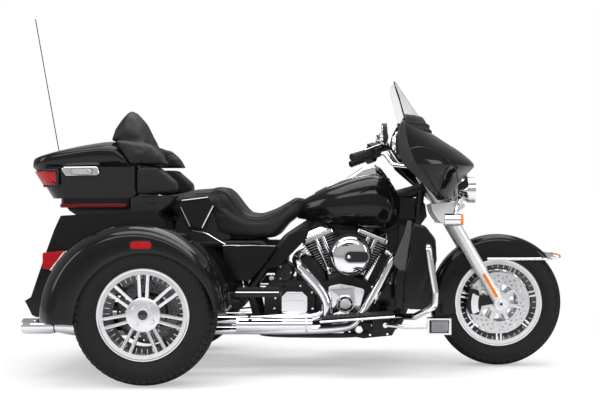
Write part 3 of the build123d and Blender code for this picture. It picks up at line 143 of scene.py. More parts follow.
# %% A pale floor that fades into the backdrop
floor_mesh = bpy.data.meshes.new("studio_floor")
HALF_FLOOR = 14
floor_mesh.from_pydata([(x * HALF_FLOOR, y * HALF_FLOOR, 0) for x, y in [(-1, -1), (1, -1), (1, 1), (-1, 1)]],
                       [], [(0, 1, 2, 3)])
floor = bpy.data.objects.new("studio_floor", floor_mesh)
scene.collection.objects.link(floor)
floor_paint = bpy.data.materials.new("pale_floor")
floor_paint.use_nodes = True
tree = floor_paint.node_tree
pale = tree.nodes["Principled BSDF"]
pale.inputs["Roughness"].default_value = 0.7
pale.inputs["Specular IOR Level"].default_value = 0.1
ground = add_node(tree, "ShaderNodeTexCoord")
flat = add_node(tree, "ShaderNodeVectorMath", [(0, ground.outputs["Object"]), (1, (0.55, 1.0, 0.0))],
                operation="MULTIPLY")
away = add_node(tree, "ShaderNodeVectorMath", [(0, flat.outputs[0])], operation="LENGTH")
fade = add_node(tree, "ShaderNodeMapRange",
                [("Value", away.outputs["Value"]), ("From Min", 0.5), ("From Max", 1.25), ("To Min", 0.40)],
                interpolation_type="SMOOTHSTEP")
rays = add_node(tree, "ShaderNodeLightPath")
paint = add_node(tree, "ShaderNodeMix", [("Factor", rays.outputs["Is Glossy Ray"]),
                                         (6, (0.93, 0.93, 0.93, 1)), (7, (0.82, 0.82, 0.83, 1))],
                 data_type="RGBA")
tree.links.new(paint.outputs[2], pale.inputs["Base Color"])
share = add_node(tree, "ShaderNodeMath", [(0, fade.outputs[0]), (1, rays.outputs["Is Camera Ray"])],
                 operation="MULTIPLY")
glow = add_node(tree, "ShaderNodeEmission")
blend = add_node(tree, "ShaderNodeMixShader",
                 [(0, share.outputs[0]), (1, pale.outputs[0]), (2, glow.outputs[0])])
tree.links.new(blend.outputs[0], tree.nodes["Material Output"].inputs["Surface"])
floor_mesh.materials.append(floor_paint)
print("floor", 2 * HALF_FLOOR, "m square")

# %% Soft boxes
soft_boxes = [
    # name, place, aim, size x, size y, power
    ("overhead_box", (0.1, -0.5, 4.0), (0.0, 0.0, 0.4), 5.0, 2.4, 160),
    ("near_box", (-0.4, -4.6, 3.6), (0.0, 0.0, 0.5), 6.0, 1.4, 120),
    ("front_box", (5.0, -2.6, 2.2), (0.4, 0.0, 0.7), 1.6, 2.6, 70),
    ("rear_box", (-5.0, -1.8, 2.4), (-0.4, 0.0, 0.7), 1.6, 2.6, 60),
    ("far_box", (0.4, 3.2, 5.2), (0.0, 0.0, 0.7), 5.0, 2.0, 90),
]
for name, spot, aim, wide, high, power in soft_boxes:
    lamp = bpy.data.lights.new(name, "AREA")
    lamp.shape = "RECTANGLE"
    lamp.size, lamp.size_y, lamp.energy = wide, high, power
    box = bpy.data.objects.new(name, lamp)
    box.location = spot
    box.rotation_euler = (Vector(aim) - Vector(spot)).to_track_quat("-Z", "Y").to_euler()
    scene.collection.objects.link(box)
print("soft boxes", len(soft_boxes))

# %% [markdown]
# ## Finishes
# Almost every surface here is one of a dozen shop finishes. Two effects come back in all of them: a cloudy
# unevenness, as of handling and polish, and a fine grain. Each is built once as a node group, and every
# finish places them with its own scale. The groups hand out only masks and heights, so the shaders stay in
# the finishes.


# %% Shared effects as node groups
def effect_group(name, inputs, outputs):
    """An empty node group with float inputs (name, default) and float outputs."""
    group = bpy.data.node_groups.new(name, "ShaderNodeTree")
    for label, value in inputs:
        socket = group.interface.new_socket(label, in_out="INPUT", socket_type="NodeSocketFloat")
        socket.default_value = value
    for label in outputs:
        group.interface.new_socket(label, in_out="OUTPUT", socket_type="NodeSocketFloat")
    return group, group.nodes.new("NodeGroupInput"), group.nodes.new("NodeGroupOutput")


cloud, cloud_in, cloud_out = effect_group("cloudy_unevenness", [("Scale", 6.0), ("Contrast", 1.0)], ["Mask"])
where = add_node(cloud, "ShaderNodeTexCoord")
broad = add_node(cloud, "ShaderNodeTexNoise",
                 [("Vector", where.outputs["Object"]), ("Scale", cloud_in.outputs["Scale"]), ("Detail", 4.0)])
spread = add_node(cloud, "ShaderNodeMath", [(0, broad.outputs["Fac"]), (1, 0.5)], operation="SUBTRACT")
gain = add_node(cloud, "ShaderNodeMath", [(0, spread.outputs[0]), (1, cloud_in.outputs["Contrast"])],
                operation="MULTIPLY")
level = add_node(cloud, "ShaderNodeMath", [(0, gain.outputs[0]), (1, 0.5)], operation="ADD", use_clamp=True)
cloud.links.new(level.outputs[0], cloud_out.inputs["Mask"])

grain, grain_in, grain_out = effect_group("surface_grain", [("Scale", 400.0), ("Pebble", 0.5)], ["Height"])
where = add_node(grain, "ShaderNodeTexCoord")
cells = add_node(grain, "ShaderNodeTexVoronoi",
                 [("Vector", where.outputs["Object"]), ("Scale", grain_in.outputs["Scale"])],
                 feature="SMOOTH_F1")
fuzz = add_node(grain, "ShaderNodeTexNoise",
                [("Vector", where.outputs["Object"]), ("Scale", grain_in.outputs["Scale"]), ("Detail", 3.0)])
share = add_node(grain, "ShaderNodeMix", [("Factor", grain_in.outputs["Pebble"]), (2, fuzz.outputs["Fac"]),
                                          (3, cells.outputs["Distance"])], data_type="FLOAT")
grain.links.new(share.outputs[0], grain_out.inputs["Height"])
print("groups", cloud.name, grain.name)


# %% A finish: two tones, two gloss levels, one grain
def finish(name, tone, other_tone, gloss, cloud_scale=5.0, contrast=1.4, grain_scale=400.0, pebble=0.5,
           bump=0.0, depth=0.001, **shader):
    """A material whose colour and roughness drift between two values, with a grain for its bump."""
    material = bpy.data.materials.new(name)
    material.use_nodes = True
    tree = material.node_tree
    body = tree.nodes["Principled BSDF"]
    mask = add_node(tree, "ShaderNodeGroup", [("Scale", cloud_scale), ("Contrast", contrast)],
                    node_tree=cloud)
    colour = add_node(tree, "ShaderNodeMix",
                      [("Factor", mask.outputs["Mask"]), (6, (*tone, 1)), (7, (*other_tone, 1))],
                      data_type="RGBA")
    tree.links.new(colour.outputs[2], body.inputs["Base Color"])
    rough = add_node(tree, "ShaderNodeMapRange",
                     [("Value", mask.outputs["Mask"]), ("To Min", gloss[0]), ("To Max", gloss[1])])
    tree.links.new(rough.outputs[0], body.inputs["Roughness"])
    if bump:
        pores = add_node(tree, "ShaderNodeGroup", [("Scale", grain_scale), ("Pebble", pebble)],
                         node_tree=grain)
        relief = add_node(tree, "ShaderNodeBump",
                          [("Height", pores.outputs["Height"]), ("Strength", bump), ("Distance", depth)])
        tree.links.new(relief.outputs[0], body.inputs["Normal"])
    for socket, value in shader.items():
        body.inputs[socket.replace("_", " ")].default_value = value
    return material


black_paint = finish("black_paint", (0.004, 0.004, 0.005), (0.007, 0.007, 0.008), (0.10, 0.16), 3.0,
                     Specular_IOR_Level=0.2, Coat_Weight=0.12, Coat_Roughness=0.03)
chrome = finish("chrome", (0.76, 0.77, 0.79), (0.68, 0.69, 0.71), (0.03, 0.09), 9.0, Metallic=1.0)
engine_black = finish("engine_black", (0.006, 0.006, 0.007), (0.012, 0.012, 0.013), (0.38, 0.52), 8.0,
                      grain_scale=520, pebble=0.3, bump=0.25, Specular_IOR_Level=0.3)
cast_silver = finish("cast_silver", (0.66, 0.67, 0.68), (0.74, 0.75, 0.76), (0.24, 0.36), 7.0,
                     grain_scale=700, pebble=0.2, bump=0.06, Metallic=1.0)
fork_alloy = finish("fork_alloy", (0.74, 0.745, 0.75), (0.67, 0.675, 0.68), (0.36, 0.46), 7.0, Metallic=0.55)
disc_steel = finish("disc_steel", (0.58, 0.58, 0.59), (0.68, 0.68, 0.69), (0.24, 0.36), 18.0, Metallic=1.0)
# A darker copy of disc steel for the rear discs, which sit deep inside the car wheels: painted shade.
shaded_disc_steel = finish("shaded_disc_steel", (0.10, 0.10, 0.105), (0.16, 0.16, 0.165), (0.30, 0.42), 18.0, Metallic=1.0)
tyre_rubber = finish("tyre_rubber", (0.005, 0.005, 0.005), (0.012, 0.012, 0.011), (0.62, 0.80), 7.0,
                     grain_scale=650, pebble=0.4, bump=0.25, Specular_IOR_Level=0.22)
seat_leather = finish("seat_leather", (0.005, 0.005, 0.005), (0.010, 0.010, 0.010), (0.42, 0.56), 6.0,
                      grain_scale=480, pebble=0.85, bump=0.35, Specular_IOR_Level=0.25)
grey_plastic = finish("grey_plastic", (0.012, 0.012, 0.013), (0.020, 0.020, 0.021), (0.46, 0.58), 5.0,
                      grain_scale=900, pebble=0.6, bump=0.18, Specular_IOR_Level=0.25)
black_rubber = finish("black_rubber", (0.006, 0.006, 0.006), (0.014, 0.014, 0.014), (0.55, 0.70), 12.0,
                      grain_scale=800, pebble=0.5, bump=0.2, Specular_IOR_Level=0.25)
red_lens = finish("red_lens", (0.42, 0.005, 0.008), (0.28, 0.002, 0.005), (0.08, 0.16), 30.0, grain_scale=170,
                  pebble=1.0, bump=0.2, Specular_IOR_Level=0.25, Coat_Weight=0.1)
amber_lens = finish("amber_lens", (0.80, 0.22, 0.012), (0.64, 0.14, 0.008), (0.08, 0.16), 30.0,
                    grain_scale=190, pebble=1.0, bump=0.2, Specular_IOR_Level=0.25, Coat_Weight=0.1)
windshield_clear = finish("windshield_clear", (0.90, 0.905, 0.91), (0.87, 0.875, 0.88), (0.0, 0.02), 4.0,
                          Transmission_Weight=1.0, IOR=1.12)
lamp_glass = finish("lamp_glass", (0.98, 0.98, 0.98), (0.94, 0.95, 0.96), (0.0, 0.03), 12.0, grain_scale=90,
                    pebble=0.6, bump=0.15, Transmission_Weight=1.0, IOR=1.2)
mirror_glass = finish("mirror_glass", (0.86, 0.88, 0.90), (0.82, 0.84, 0.86), (0.01, 0.03), 5.0, Metallic=1.0)
finish_of_slot = {
    "black_paint": black_paint, "black_engine": engine_black, "chrome": chrome, "silver_alloy": cast_silver,
    "disc_steel": disc_steel, "tyre": tyre_rubber, "seat_cover": seat_leather, "grey_plastic": grey_plastic,
    "rubber": black_rubber, "red_lens": red_lens, "amber_lens": amber_lens, "clear_glass": lamp_glass,
}
print("finishes", len(finish_of_slot) + 4)

# %% [markdown]
# ## Tools of the lesson
# Pressed and moulded panels are surfaces drawn through a few sections, so one helper refines a table of
# sections with a curve that never overshoots, and another lays quads between the rings of points. Turned
# parts are lathed about an axle. Everything else starts from the solid itself, welded and with its edges
# rounded.


# %% Making and placing pieces
def new_piece(name, mesh, body, material, smooth=40):
    """Puts a finished mesh on a body with a material, and smooths all but its sharp edges."""
    piece = bpy.data.objects.new(name, mesh)
    scene.collection.objects.link(piece)
    mesh.name = name
    if material:
        mesh.materials.clear()
        mesh.materials.append(material)
    mesh.polygons.foreach_set("use_smooth", [True] * len(mesh.polygons))
    mesh.set_sharp_from_angle(angle=radians(smooth))
    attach(piece, body)
    return piece


def painted(mesh, *finishes):
    """The mesh with its finishes, ready to be joined with others."""
    for tone in finishes:
        mesh.materials.append(tone)
    return mesh


def baked(thing):
    """The plain mesh of an object with all its modifiers."""
    bpy.context.view_layer.update()
    return bpy.data.meshes.new_from_object(thing.evaluated_get(bpy.context.evaluated_depsgraph_get()))


def thicken(piece, thickness, offset=-1.0):
    """Gives a skin the thickness of its sheet, inward unless the offset says otherwise."""
    sheet = piece.modifiers.new("sheet", "SOLIDIFY")
    sheet.thickness = thickness
    sheet.offset = offset


def round_edges(piece, width, segments=2, angle=32):
    """A bevel along all edges sharper than an angle."""
    bevel = piece.modifiers.new("edges", "BEVEL")
    bevel.width = width
    bevel.segments = segments
    bevel.limit_method = "ANGLE"
    bevel.angle_limit = radians(angle)
    bevel.use_clamp_overlap = True


print("placing tools ready")


# %% Meshes from solids and from rings of points
def welded_solid(node):
    """The solid's mesh with its triangles joined into whole faces."""
    shape = bmesh.new()
    shape.from_mesh(nodes[node].data)
    bmesh.ops.remove_doubles(shape, verts=shape.verts, dist=1e-5)
    bmesh.ops.dissolve_limit(shape, angle_limit=radians(1.0), verts=shape.verts, edges=shape.edges)
    mesh = bpy.data.meshes.new(node)
    shape.to_mesh(mesh)
    shape.free()
    return mesh


def rounded_copy(node, width=0.004, segments=2, material=None):
    """A welded copy of one solid with rounded edges, which stands for the solid."""
    slot = slots_of[node]
    piece = new_piece(node + "_rounded", welded_solid(node), bodies_of[node],
                      material or finish_of_slot[slot])
    round_edges(piece, width, segments)
    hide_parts(node)
    return piece


def skin(rings, closed=True, caps=False):
    """A mesh of quads between rings of points, with or without end faces."""
    count = len(rings[0])
    points = [p for ring in rings for p in ring]
    faces = []
    for a in range(len(rings) - 1):
        for b in range(count if closed else count - 1):
            c = (b + 1) % count
            faces.append((a * count + b, a * count + c, (a + 1) * count + c, (a + 1) * count + b))
    if caps:
        faces += [tuple(range(count)), tuple(range((len(rings) - 1) * count, len(rings) * count))]
    return mesh_of(points, faces)


def mesh_of(points, faces):
    """A mesh with its normals turned the same way."""
    mesh = bpy.data.meshes.new("shape")
    mesh.from_pydata(points, [], faces)
    shape = bmesh.new()
    shape.from_mesh(mesh)
    bmesh.ops.recalc_face_normals(shape, faces=shape.faces)
    shape.to_mesh(mesh)
    shape.free()
    return mesh


def joined(meshes):
    """Several meshes as one; materials keep their order of first use."""
    shape = bmesh.new()
    finishes = []
    for mesh in meshes:
        start = len(shape.faces)
        shape.from_mesh(mesh)
        shape.faces.ensure_lookup_table()
        own = list(mesh.materials)
        for face in shape.faces[start:]:
            if own:
                tone = own[min(face.material_index, len(own) - 1)]
                if tone not in finishes:
                    finishes.append(tone)
                face.material_index = finishes.index(tone)
    result = bpy.data.meshes.new("joined")
    shape.to_mesh(result)
    shape.free()
    for tone in finishes:
        result.materials.append(tone)
    return result


def mirrored(mesh):
    """The mesh and its twin on the other side of the machine."""
    twin = mesh.copy()
    twin.transform(Matrix.Scale(-1, 4, (0, 1, 0)))
    twin.flip_normals()
    return joined([mesh, twin])


print("mesh tools ready")


# %% Curves, outlines and rings
def smooth_rows(rows, steps):
    """Refines a table along its first column with a curve that never overshoots."""
    gaps = [b[0] - a[0] for a, b in zip(rows, rows[1:])]
    slopes = []
    for column in zip(*rows):
        rises = [(b - a) / gap for a, b, gap in zip(column, column[1:], gaps)]
        inner = [0.0 if p * q <= 0 else 2 * p * q / (p + q) for p, q in zip(rises, rises[1:])]
        slopes.append([rises[0]] + inner + [rises[-1]])
    fine = []
    for i, gap in enumerate(gaps):
        for k in range(steps):
            t = k / steps
            start, end = 2 * t ** 3 - 3 * t ** 2 + 1, 3 * t ** 2 - 2 * t ** 3
            leave, reach = (t ** 3 - 2 * t ** 2 + t) * gap, (t ** 3 - t ** 2) * gap
            fine.append([start * a + end * b + leave * s[i] + reach * s[i + 1]
                         for a, b, s in zip(rows[i], rows[i + 1], slopes)])
    return fine + [list(rows[-1])]


def softened(points, rounds=2):
    """A line of points with its inner corners cut in rounds, so that it runs smoothly; the ends stay."""
    for _ in range(rounds):
        cut = [points[0]]
        for a, b in zip(points, points[1:]):
            cut += [tuple(0.75 * p + 0.25 * q for p, q in zip(a, b)),
                    tuple(0.25 * p + 0.75 * q for p, q in zip(a, b))]
        points = cut + [points[-1]]
    return points


def soft_outline(points):
    """A closed outline with its corners cut."""
    return softened(points + points[:1], 2)[:-1]


def ahead_of(base, points):
    """Points whose X is measured ahead of a base."""
    return [(base + p[0], *p[1:]) for p in points]


def across(side, inner, outer):
    """Two distances from the middle plane as low and high Y on one side of the machine."""
    return sorted((side * inner, side * outer))


def surface_of(mesh):
    """A search tree of a mesh, in which rays find its surface."""
    return BVHTree.FromPolygons([v.co for v in mesh.vertices], [tuple(p.vertices) for p in mesh.polygons])


def upright_ring(x, low, high, half, corner, count=8):
    """A rounded oblong across the machine, as a ring of points."""
    corner = min(corner, half * 0.98, (high - low) * 0.49)
    ring = []
    for y, z, start in [(half - corner, high - corner, 0), (corner - half, high - corner, 90),
                        (corner - half, low + corner, 180), (half - corner, low + corner, 270)]:
        for k in range(count + 1):
            turn = radians(start + 90 * k / count)
            ring.append((x, y + corner * cos(turn), z + corner * sin(turn)))
    return ring


print("curve tools ready")


# %% Turned, bent and flat bodies
def lathe(profile, centre, steps=96, axis="Y"):
    """Turns a profile of (radius, distance along the axis) about an axle."""
    rings = []
    for radius, along in profile:
        ring = []
        for k in range(steps):
            turn = 2 * pi * k / steps
            a, b = radius * cos(turn), radius * sin(turn)
            ring.append({"Y": (a, along, b), "X": (along, a, b), "Z": (a, b, along)}[axis])
        rings.append([tuple(Vector(p) + Vector(centre)) for p in ring])
    return skin(rings)


def tube(points, radius, sides=10):
    """A round bar along a line of points."""
    line = [Vector(p) for p in points]
    rings = []
    side = None
    for i, point in enumerate(line):
        way = (line[min(i + 1, len(line) - 1)] - line[max(i - 1, 0)]).normalized()
        if side is None:
            side = way.orthogonal().normalized()
        side = (side - way * side.dot(way)).normalized()
        up = way.cross(side)
        rings.append([tuple(point + radius * (cos(2 * pi * k / sides) * side + sin(2 * pi * k / sides) * up))
                      for k in range(sides)])
    return skin(rings, caps=True)


def plate(points, y_low, y_high):
    """A side-view outline of (x, z) points with a thickness across the machine."""
    count = len(points)
    both_faces = [(x, y_low, z) for x, z in points] + [(x, y_high, z) for x, z in points]
    faces = [tuple(range(count)), tuple(range(count, 2 * count))]
    faces += [(i, (i + 1) % count, count + (i + 1) % count, count + i) for i in range(count)]
    return mesh_of(both_faces, faces)


print("body tools ready")

# %% [markdown]
# ## Two node trees for everything that repeats
# Wheel nuts, tread blocks, cover screws and drilled holes all stand on circles. A Geometry Nodes group makes
# the circle from a count and a radius, turns each copy by its own share of the full turn, and realises the
# copies. Ribs on mats and pads stand in rows, which a second group makes from a count and a step. Each result
# is kept as a plain mesh, so nothing has to be evaluated again later.

# %% The group ring_of_items
ring_group = bpy.data.node_groups.new("ring_of_items", "GeometryNodeTree")
face = ring_group.interface
for label, kind in [("Count", "NodeSocketInt"), ("Radius", "NodeSocketFloat"), ("Start", "NodeSocketFloat"),
                    ("Item", "NodeSocketObject"), ("Finish", "NodeSocketMaterial")]:
    face.new_socket(label, in_out="INPUT", socket_type=kind)
face.new_socket("Geometry", in_out="OUTPUT", socket_type="NodeSocketGeometry")
given = add_node(ring_group, "NodeGroupInput")
made = add_node(ring_group, "NodeGroupOutput")
circle = add_node(ring_group, "GeometryNodeMeshCircle",
                  [("Vertices", given.outputs["Count"]), ("Radius", given.outputs["Radius"])])
number = add_node(ring_group, "GeometryNodeInputIndex")
part = add_node(ring_group, "ShaderNodeMath", [(0, number.outputs[0]), (1, given.outputs["Count"])],
                operation="DIVIDE")
angle = add_node(ring_group, "ShaderNodeMath", [(0, part.outputs[0]), (1, 2 * pi)], operation="MULTIPLY")
turn = add_node(ring_group, "ShaderNodeCombineXYZ", [("Z", angle.outputs[0])])
thing = add_node(ring_group, "GeometryNodeObjectInfo", [("Object", given.outputs["Item"])])
copies = add_node(ring_group, "GeometryNodeInstanceOnPoints",
                  [("Points", circle.outputs[0]), ("Instance", thing.outputs["Geometry"]),
                   ("Rotation", turn.outputs[0])])
first = add_node(ring_group, "ShaderNodeCombineXYZ", [("Z", given.outputs["Start"])])
solid = add_node(ring_group, "GeometryNodeRealizeInstances", [(0, copies.outputs[0])])
turned = add_node(ring_group, "GeometryNodeTransform",
                  [("Geometry", solid.outputs[0]), ("Rotation", first.outputs[0])])
coated = add_node(ring_group, "GeometryNodeSetMaterial",
                  [("Geometry", turned.outputs[0]), ("Material", given.outputs["Finish"])])
ring_group.links.new(coated.outputs[0], made.inputs[0])
print("ring inputs", [item.name for item in face.items_tree if item.in_out == "INPUT"])

# %% The group row_of_items
row_group = bpy.data.node_groups.new("row_of_items", "GeometryNodeTree")
face = row_group.interface
for label, kind in [("Count", "NodeSocketInt"), ("Step", "NodeSocketVector"), ("Item", "NodeSocketObject"),
                    ("Finish", "NodeSocketMaterial")]:
    face.new_socket(label, in_out="INPUT", socket_type=kind)
face.new_socket("Geometry", in_out="OUTPUT", socket_type="NodeSocketGeometry")
given = add_node(row_group, "NodeGroupInput")
made = add_node(row_group, "NodeGroupOutput")
line = add_node(row_group, "GeometryNodeMeshLine",
                [("Count", given.outputs["Count"]), ("Offset", given.outputs["Step"])])
thing = add_node(row_group, "GeometryNodeObjectInfo", [("Object", given.outputs["Item"])])
copies = add_node(row_group, "GeometryNodeInstanceOnPoints",
                  [("Points", line.outputs[0]), ("Instance", thing.outputs["Geometry"])])
solid = add_node(row_group, "GeometryNodeRealizeInstances", [(0, copies.outputs[0])])
coated = add_node(row_group, "GeometryNodeSetMaterial",
                  [("Geometry", solid.outputs[0]), ("Material", given.outputs["Finish"])])
row_group.links.new(coated.outputs[0], made.inputs[0])
print("row inputs", [item.name for item in face.items_tree if item.in_out == "INPUT"])


# %% Plain meshes from the groups
def grown(group, item, finish_used, **sizes):
    """The plain mesh that a group makes of one small item."""
    sockets = {entry.name: entry.identifier
               for entry in group.interface.items_tree if entry.in_out == "INPUT"}
    holder = bpy.data.objects.new("item", item)
    carrier = bpy.data.objects.new("carrier", bpy.data.meshes.new("carrier"))
    for thing in (holder, carrier):
        scene.collection.objects.link(thing)
    nodes_used = carrier.modifiers.new("repeat", "NODES")
    nodes_used.node_group = group
    for label, value in [("Item", holder), ("Finish", finish_used), *sizes.items()]:
        nodes_used[sockets[label]] = value
    mesh = baked(carrier)
    for thing in (carrier, holder):
        bpy.data.objects.remove(thing)
    return mesh


def ring_of(item, count, radius, finish_used, place, axis="Y", start=0.0):
    """Copies of one small mesh on a circle; in the item X points outward and Z along the axle."""
    mesh = grown(ring_group, item, finish_used, Count=count, Radius=radius, Start=start)
    if axis == "Y":
        mesh.transform(Matrix.Rotation(radians(-90), 4, "X"))
    elif axis == "X":
        mesh.transform(Matrix.Rotation(radians(90), 4, "Y"))
    mesh.transform(Matrix.Translation(Vector(place)))
    return mesh


def row_of(item, count, step, finish_used, place):
    """Copies of one small mesh in a straight row from a place."""
    mesh = grown(row_group, item, finish_used, Count=count, Step=tuple(step))
    mesh.transform(Matrix.Translation(Vector(place)))
    return mesh


def block(length, width, height, taper=0.8, base=0.0):
    """A small block: length along X, width along Y, height along Z, narrower at its top."""
    a, b = length / 2, width / 2
    points = [(x, y, base) for x, y in [(-a, -b), (a, -b), (a, b), (-a, b)]]
    points += [(x * taper, y * taper, base + height) for x, y in [(-a, -b), (a, -b), (a, b), (-a, b)]]
    faces = [(0, 1, 2, 3), (4, 5, 6, 7), (0, 1, 5, 4), (1, 2, 6, 5), (2, 3, 7, 6), (3, 0, 4, 7)]
    return mesh_of(points, faces)


def faced(item, side, height, shift=0.0):
    """An item for a ring, turned to one side of the machine and moved out along the axle."""
    if side < 0:
        item.transform(Matrix.Rotation(pi, 4, "X"))
    item.transform(Matrix.Translation((0, shift, side * height)))
    return item


def screw_head(radius, height, sides=6, dome=0.6):
    """A nut or screw head standing along Z, with a chamfered top."""
    rings = []
    for r, z in [(radius, -height * 0.5), (radius, height * dome), (radius * 0.72, height)]:
        rings.append([(r * cos(2 * pi * k / sides), r * sin(2 * pi * k / sides), z) for k in range(sides)])
    return skin(rings, caps=True)


print("repeat tools ready")

# %% [markdown]
# ## Pressed panels
# The rear fenders are deep pressings: a drum over the tyre, a soft shoulder, and a face with a round mouth
# for the wheel. Each angle round the wheel gets one section from trunk to mouth, with its corners cut until
# they run round. The bottom edges are level, because every circle starts and stops at the height of the hem.

# %% Rear fenders
FENDER_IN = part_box("rear_fenders")[1][1] - 0.2497
FENDER_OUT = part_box("rear_fenders")[1][1]
hoops = [
    # side position, centre x, centre z, radius
    (FENDER_IN, REAR - 0.053, 0.306, 0.425),
    (FENDER_OUT - 0.130, REAR - 0.053, 0.306, 0.425),
    (FENDER_OUT - 0.086, REAR - 0.053, 0.306, 0.424),
    (FENDER_OUT - 0.030, REAR - 0.042, 0.310, 0.396),
    (FENDER_OUT, REAR - 0.036, 0.313, 0.370),
    (FENDER_OUT, REAR - 0.006, 0.298, 0.345),
    (FENDER_OUT - 0.002, REAR + 0.012, 0.284, 0.313),
    (FENDER_OUT - 0.020, REAR + 0.012, 0.284, 0.313),
]
FENDER_STEPS = 72
HEM_AHEAD, HEM_BEHIND = 0.335, 0.285  # heights of the two level hems
rings = []
for step in range(FENDER_STEPS + 1):
    share = step / FENDER_STEPS
    section = []
    for y, x_mid, z_mid, radius in hoops:
        start = asin((HEM_AHEAD - z_mid) / radius)
        end = pi - asin((HEM_BEHIND - z_mid) / radius)
        turn = start + (end - start) * share
        section.append((x_mid + radius * cos(turn), y, z_mid + radius * sin(turn)))
    rings.append(softened(section, 3))
fender_skins = new_piece("rear_fender_skins", mirrored(skin(rings, closed=False)), bodies_of["rear_fenders"],
                         black_paint, 60)
thicken(fender_skins, 0.004)
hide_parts("rear_fenders")
print("rear fenders", len(fender_skins.data.polygons), "faces")

# %% [markdown]
# The tank is a teardrop, wide at the knees and thin where it meets the seat. It is drawn through eight
# sections, and the quads of its underside above the backbone are left out, because the real tank straddles
# the frame there.

# %% Fuel tank
tank_rows = [
    # x, low z, high z, half width, corner radius
    (CRANK - 0.240, 0.742, 0.822, 0.060, 0.038),
    (CRANK - 0.164, 0.730, 0.862, 0.112, 0.062),
    (CRANK - 0.073, 0.716, 0.905, 0.160, 0.088),
    (CRANK + 0.036, 0.703, 0.945, 0.186, 0.112),
    (CRANK + 0.136, 0.694, 0.966, 0.190, 0.124),
    (CRANK + 0.206, 0.690, 0.948, 0.172, 0.116),
    (CRANK + 0.251, 0.718, 0.890, 0.130, 0.080),
    (CRANK + 0.273, 0.770, 0.845, 0.080, 0.036),
]
rings = []
for x, low, high, half, corner in smooth_rows(tank_rows, 5):
    ring = upright_ring(x, low, high, half, corner, 10)
    rings.append(ring[33:] + ring[:33])
for end, step in [(0, -0.006), (-1, 0.006)]:
    heart = sum((Vector(p) for p in rings[end]), Vector()) / len(rings[end])
    small = [tuple(heart + (Vector(p) - heart) * 0.05 + Vector((step, 0, 0))) for p in rings[end]]
    rings.insert(0 if end == 0 else len(rings), small)
tank = new_piece("fuel_tank_skin", skin(rings, closed=False), bodies_of["fuel_tank"],
                 black_paint, 60)
thicken(tank, 0.003)
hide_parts("fuel_tank")
print("tank", len(tank.data.polygons), "faces")

# %% [markdown]
# The fairing is a bowl that turns with the fork. Each level section is an arc through the two rear edges and
# the nose. A brow stands out above the lamp, and a dull grey rim runs along the rear edge, where the hand
# meets it.


# %% Fairing and its rim
def level_arc(z, nose, edge, half, low=0.0, high=1.0, count=40, grow=0.0):
    """Points on the arc from edge to edge through the nose, between two shares of its length."""
    sag = nose - edge
    radius = (half * half + sag * sag) / (2 * sag)
    reach = atan2(half, radius - sag)
    points = []
    for k in range(count + 1):
        turn = -reach + 2 * reach * (low + (high - low) * k / count)
        points.append((nose - radius + (radius + grow) * cos(turn), (radius + grow) * sin(turn), z))
    return points


fairing_rows = [
    # z, nose x, rear edge x, half width
    (0.833, 0.838, 0.741, 0.262),
    (0.892, 0.868, 0.684, 0.336),
    (0.948, 0.892, 0.626, 0.392),
    (0.984, 0.928, 0.588, 0.412),
    (1.006, 0.944, 0.568, 0.418),
    (1.062, 0.893, 0.549, 0.420),
    (1.120, 0.806, 0.541, 0.412),
    (1.187, 0.700, 0.552, 0.372),
    (1.228, 0.628, 0.572, 0.300),
]
fine_fairing = smooth_rows(fairing_rows, 6)
bowl = skin([level_arc(*row) for row in fine_fairing], closed=False)
fairing_skin = new_piece("fairing_skin", bowl, bodies_of["fairing"], black_paint, 60)
thicken(fairing_skin, 0.006)
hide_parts("fairing")
rim_sides = []
for low, high in [(-0.006, 0.045), (0.955, 1.006)]:
    rim_sides.append(skin([level_arc(*row, low, high, 6, 0.003) for row in fine_fairing[4:-3]], closed=False))
fairing_rim = new_piece("fairing_rim", joined(rim_sides), bodies_of["fairing"], grey_plastic,
                        60)
thicken(fairing_rim, 0.010, -0.6)
round_edges(fairing_rim, 0.003)
print("fairing", len(bowl.polygons), "faces")

# %% [markdown]
# The windshield is a bent sheet of clear plastic with a rounded top. It is only tinted a little: against the
# white backdrop a clear sheet is read by its grey edges, so it keeps a real thickness. A dark seal holds its
# foot.

# %% Windshield and its seal
shield_rows = [
    # z, middle x, side edge x, half width
    (1.196, 0.708, 0.586, 0.283),
    (1.262, 0.662, 0.570, 0.272),
    (1.320, 0.621, 0.556, 0.254),
    (1.374, 0.584, 0.541, 0.222),
    (1.410, 0.560, 0.534, 0.172),
    (1.426, 0.549, 0.534, 0.118),
]
fine_shield = smooth_rows(shield_rows, 6)
shield = new_piece("windshield_sheet", skin([level_arc(*row) for row in fine_shield], closed=False),
                   bodies_of["windshield"], windshield_clear, 60)
thicken(shield, 0.005)
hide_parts("windshield")
seal_line = level_arc(1.204, 0.706, 0.583, 0.284, count=32, grow=0.004)
vent_line = level_arc(1.178, 0.722, 0.572, 0.318, count=32, grow=0.002)
seal_mesh = joined([tube(seal_line, 0.011), tube(vent_line, 0.008)])
new_piece("windshield_seal", seal_mesh, bodies_of["windshield"], black_rubber)
print("windshield", len(shield.data.polygons), "faces")

# %% [markdown]
# The front fender wraps the tyre. Its side reaches down to the rim, and ahead of the fork the hem is cut
# level and edged with a bright strip, which ends in a small lamp at the tip.

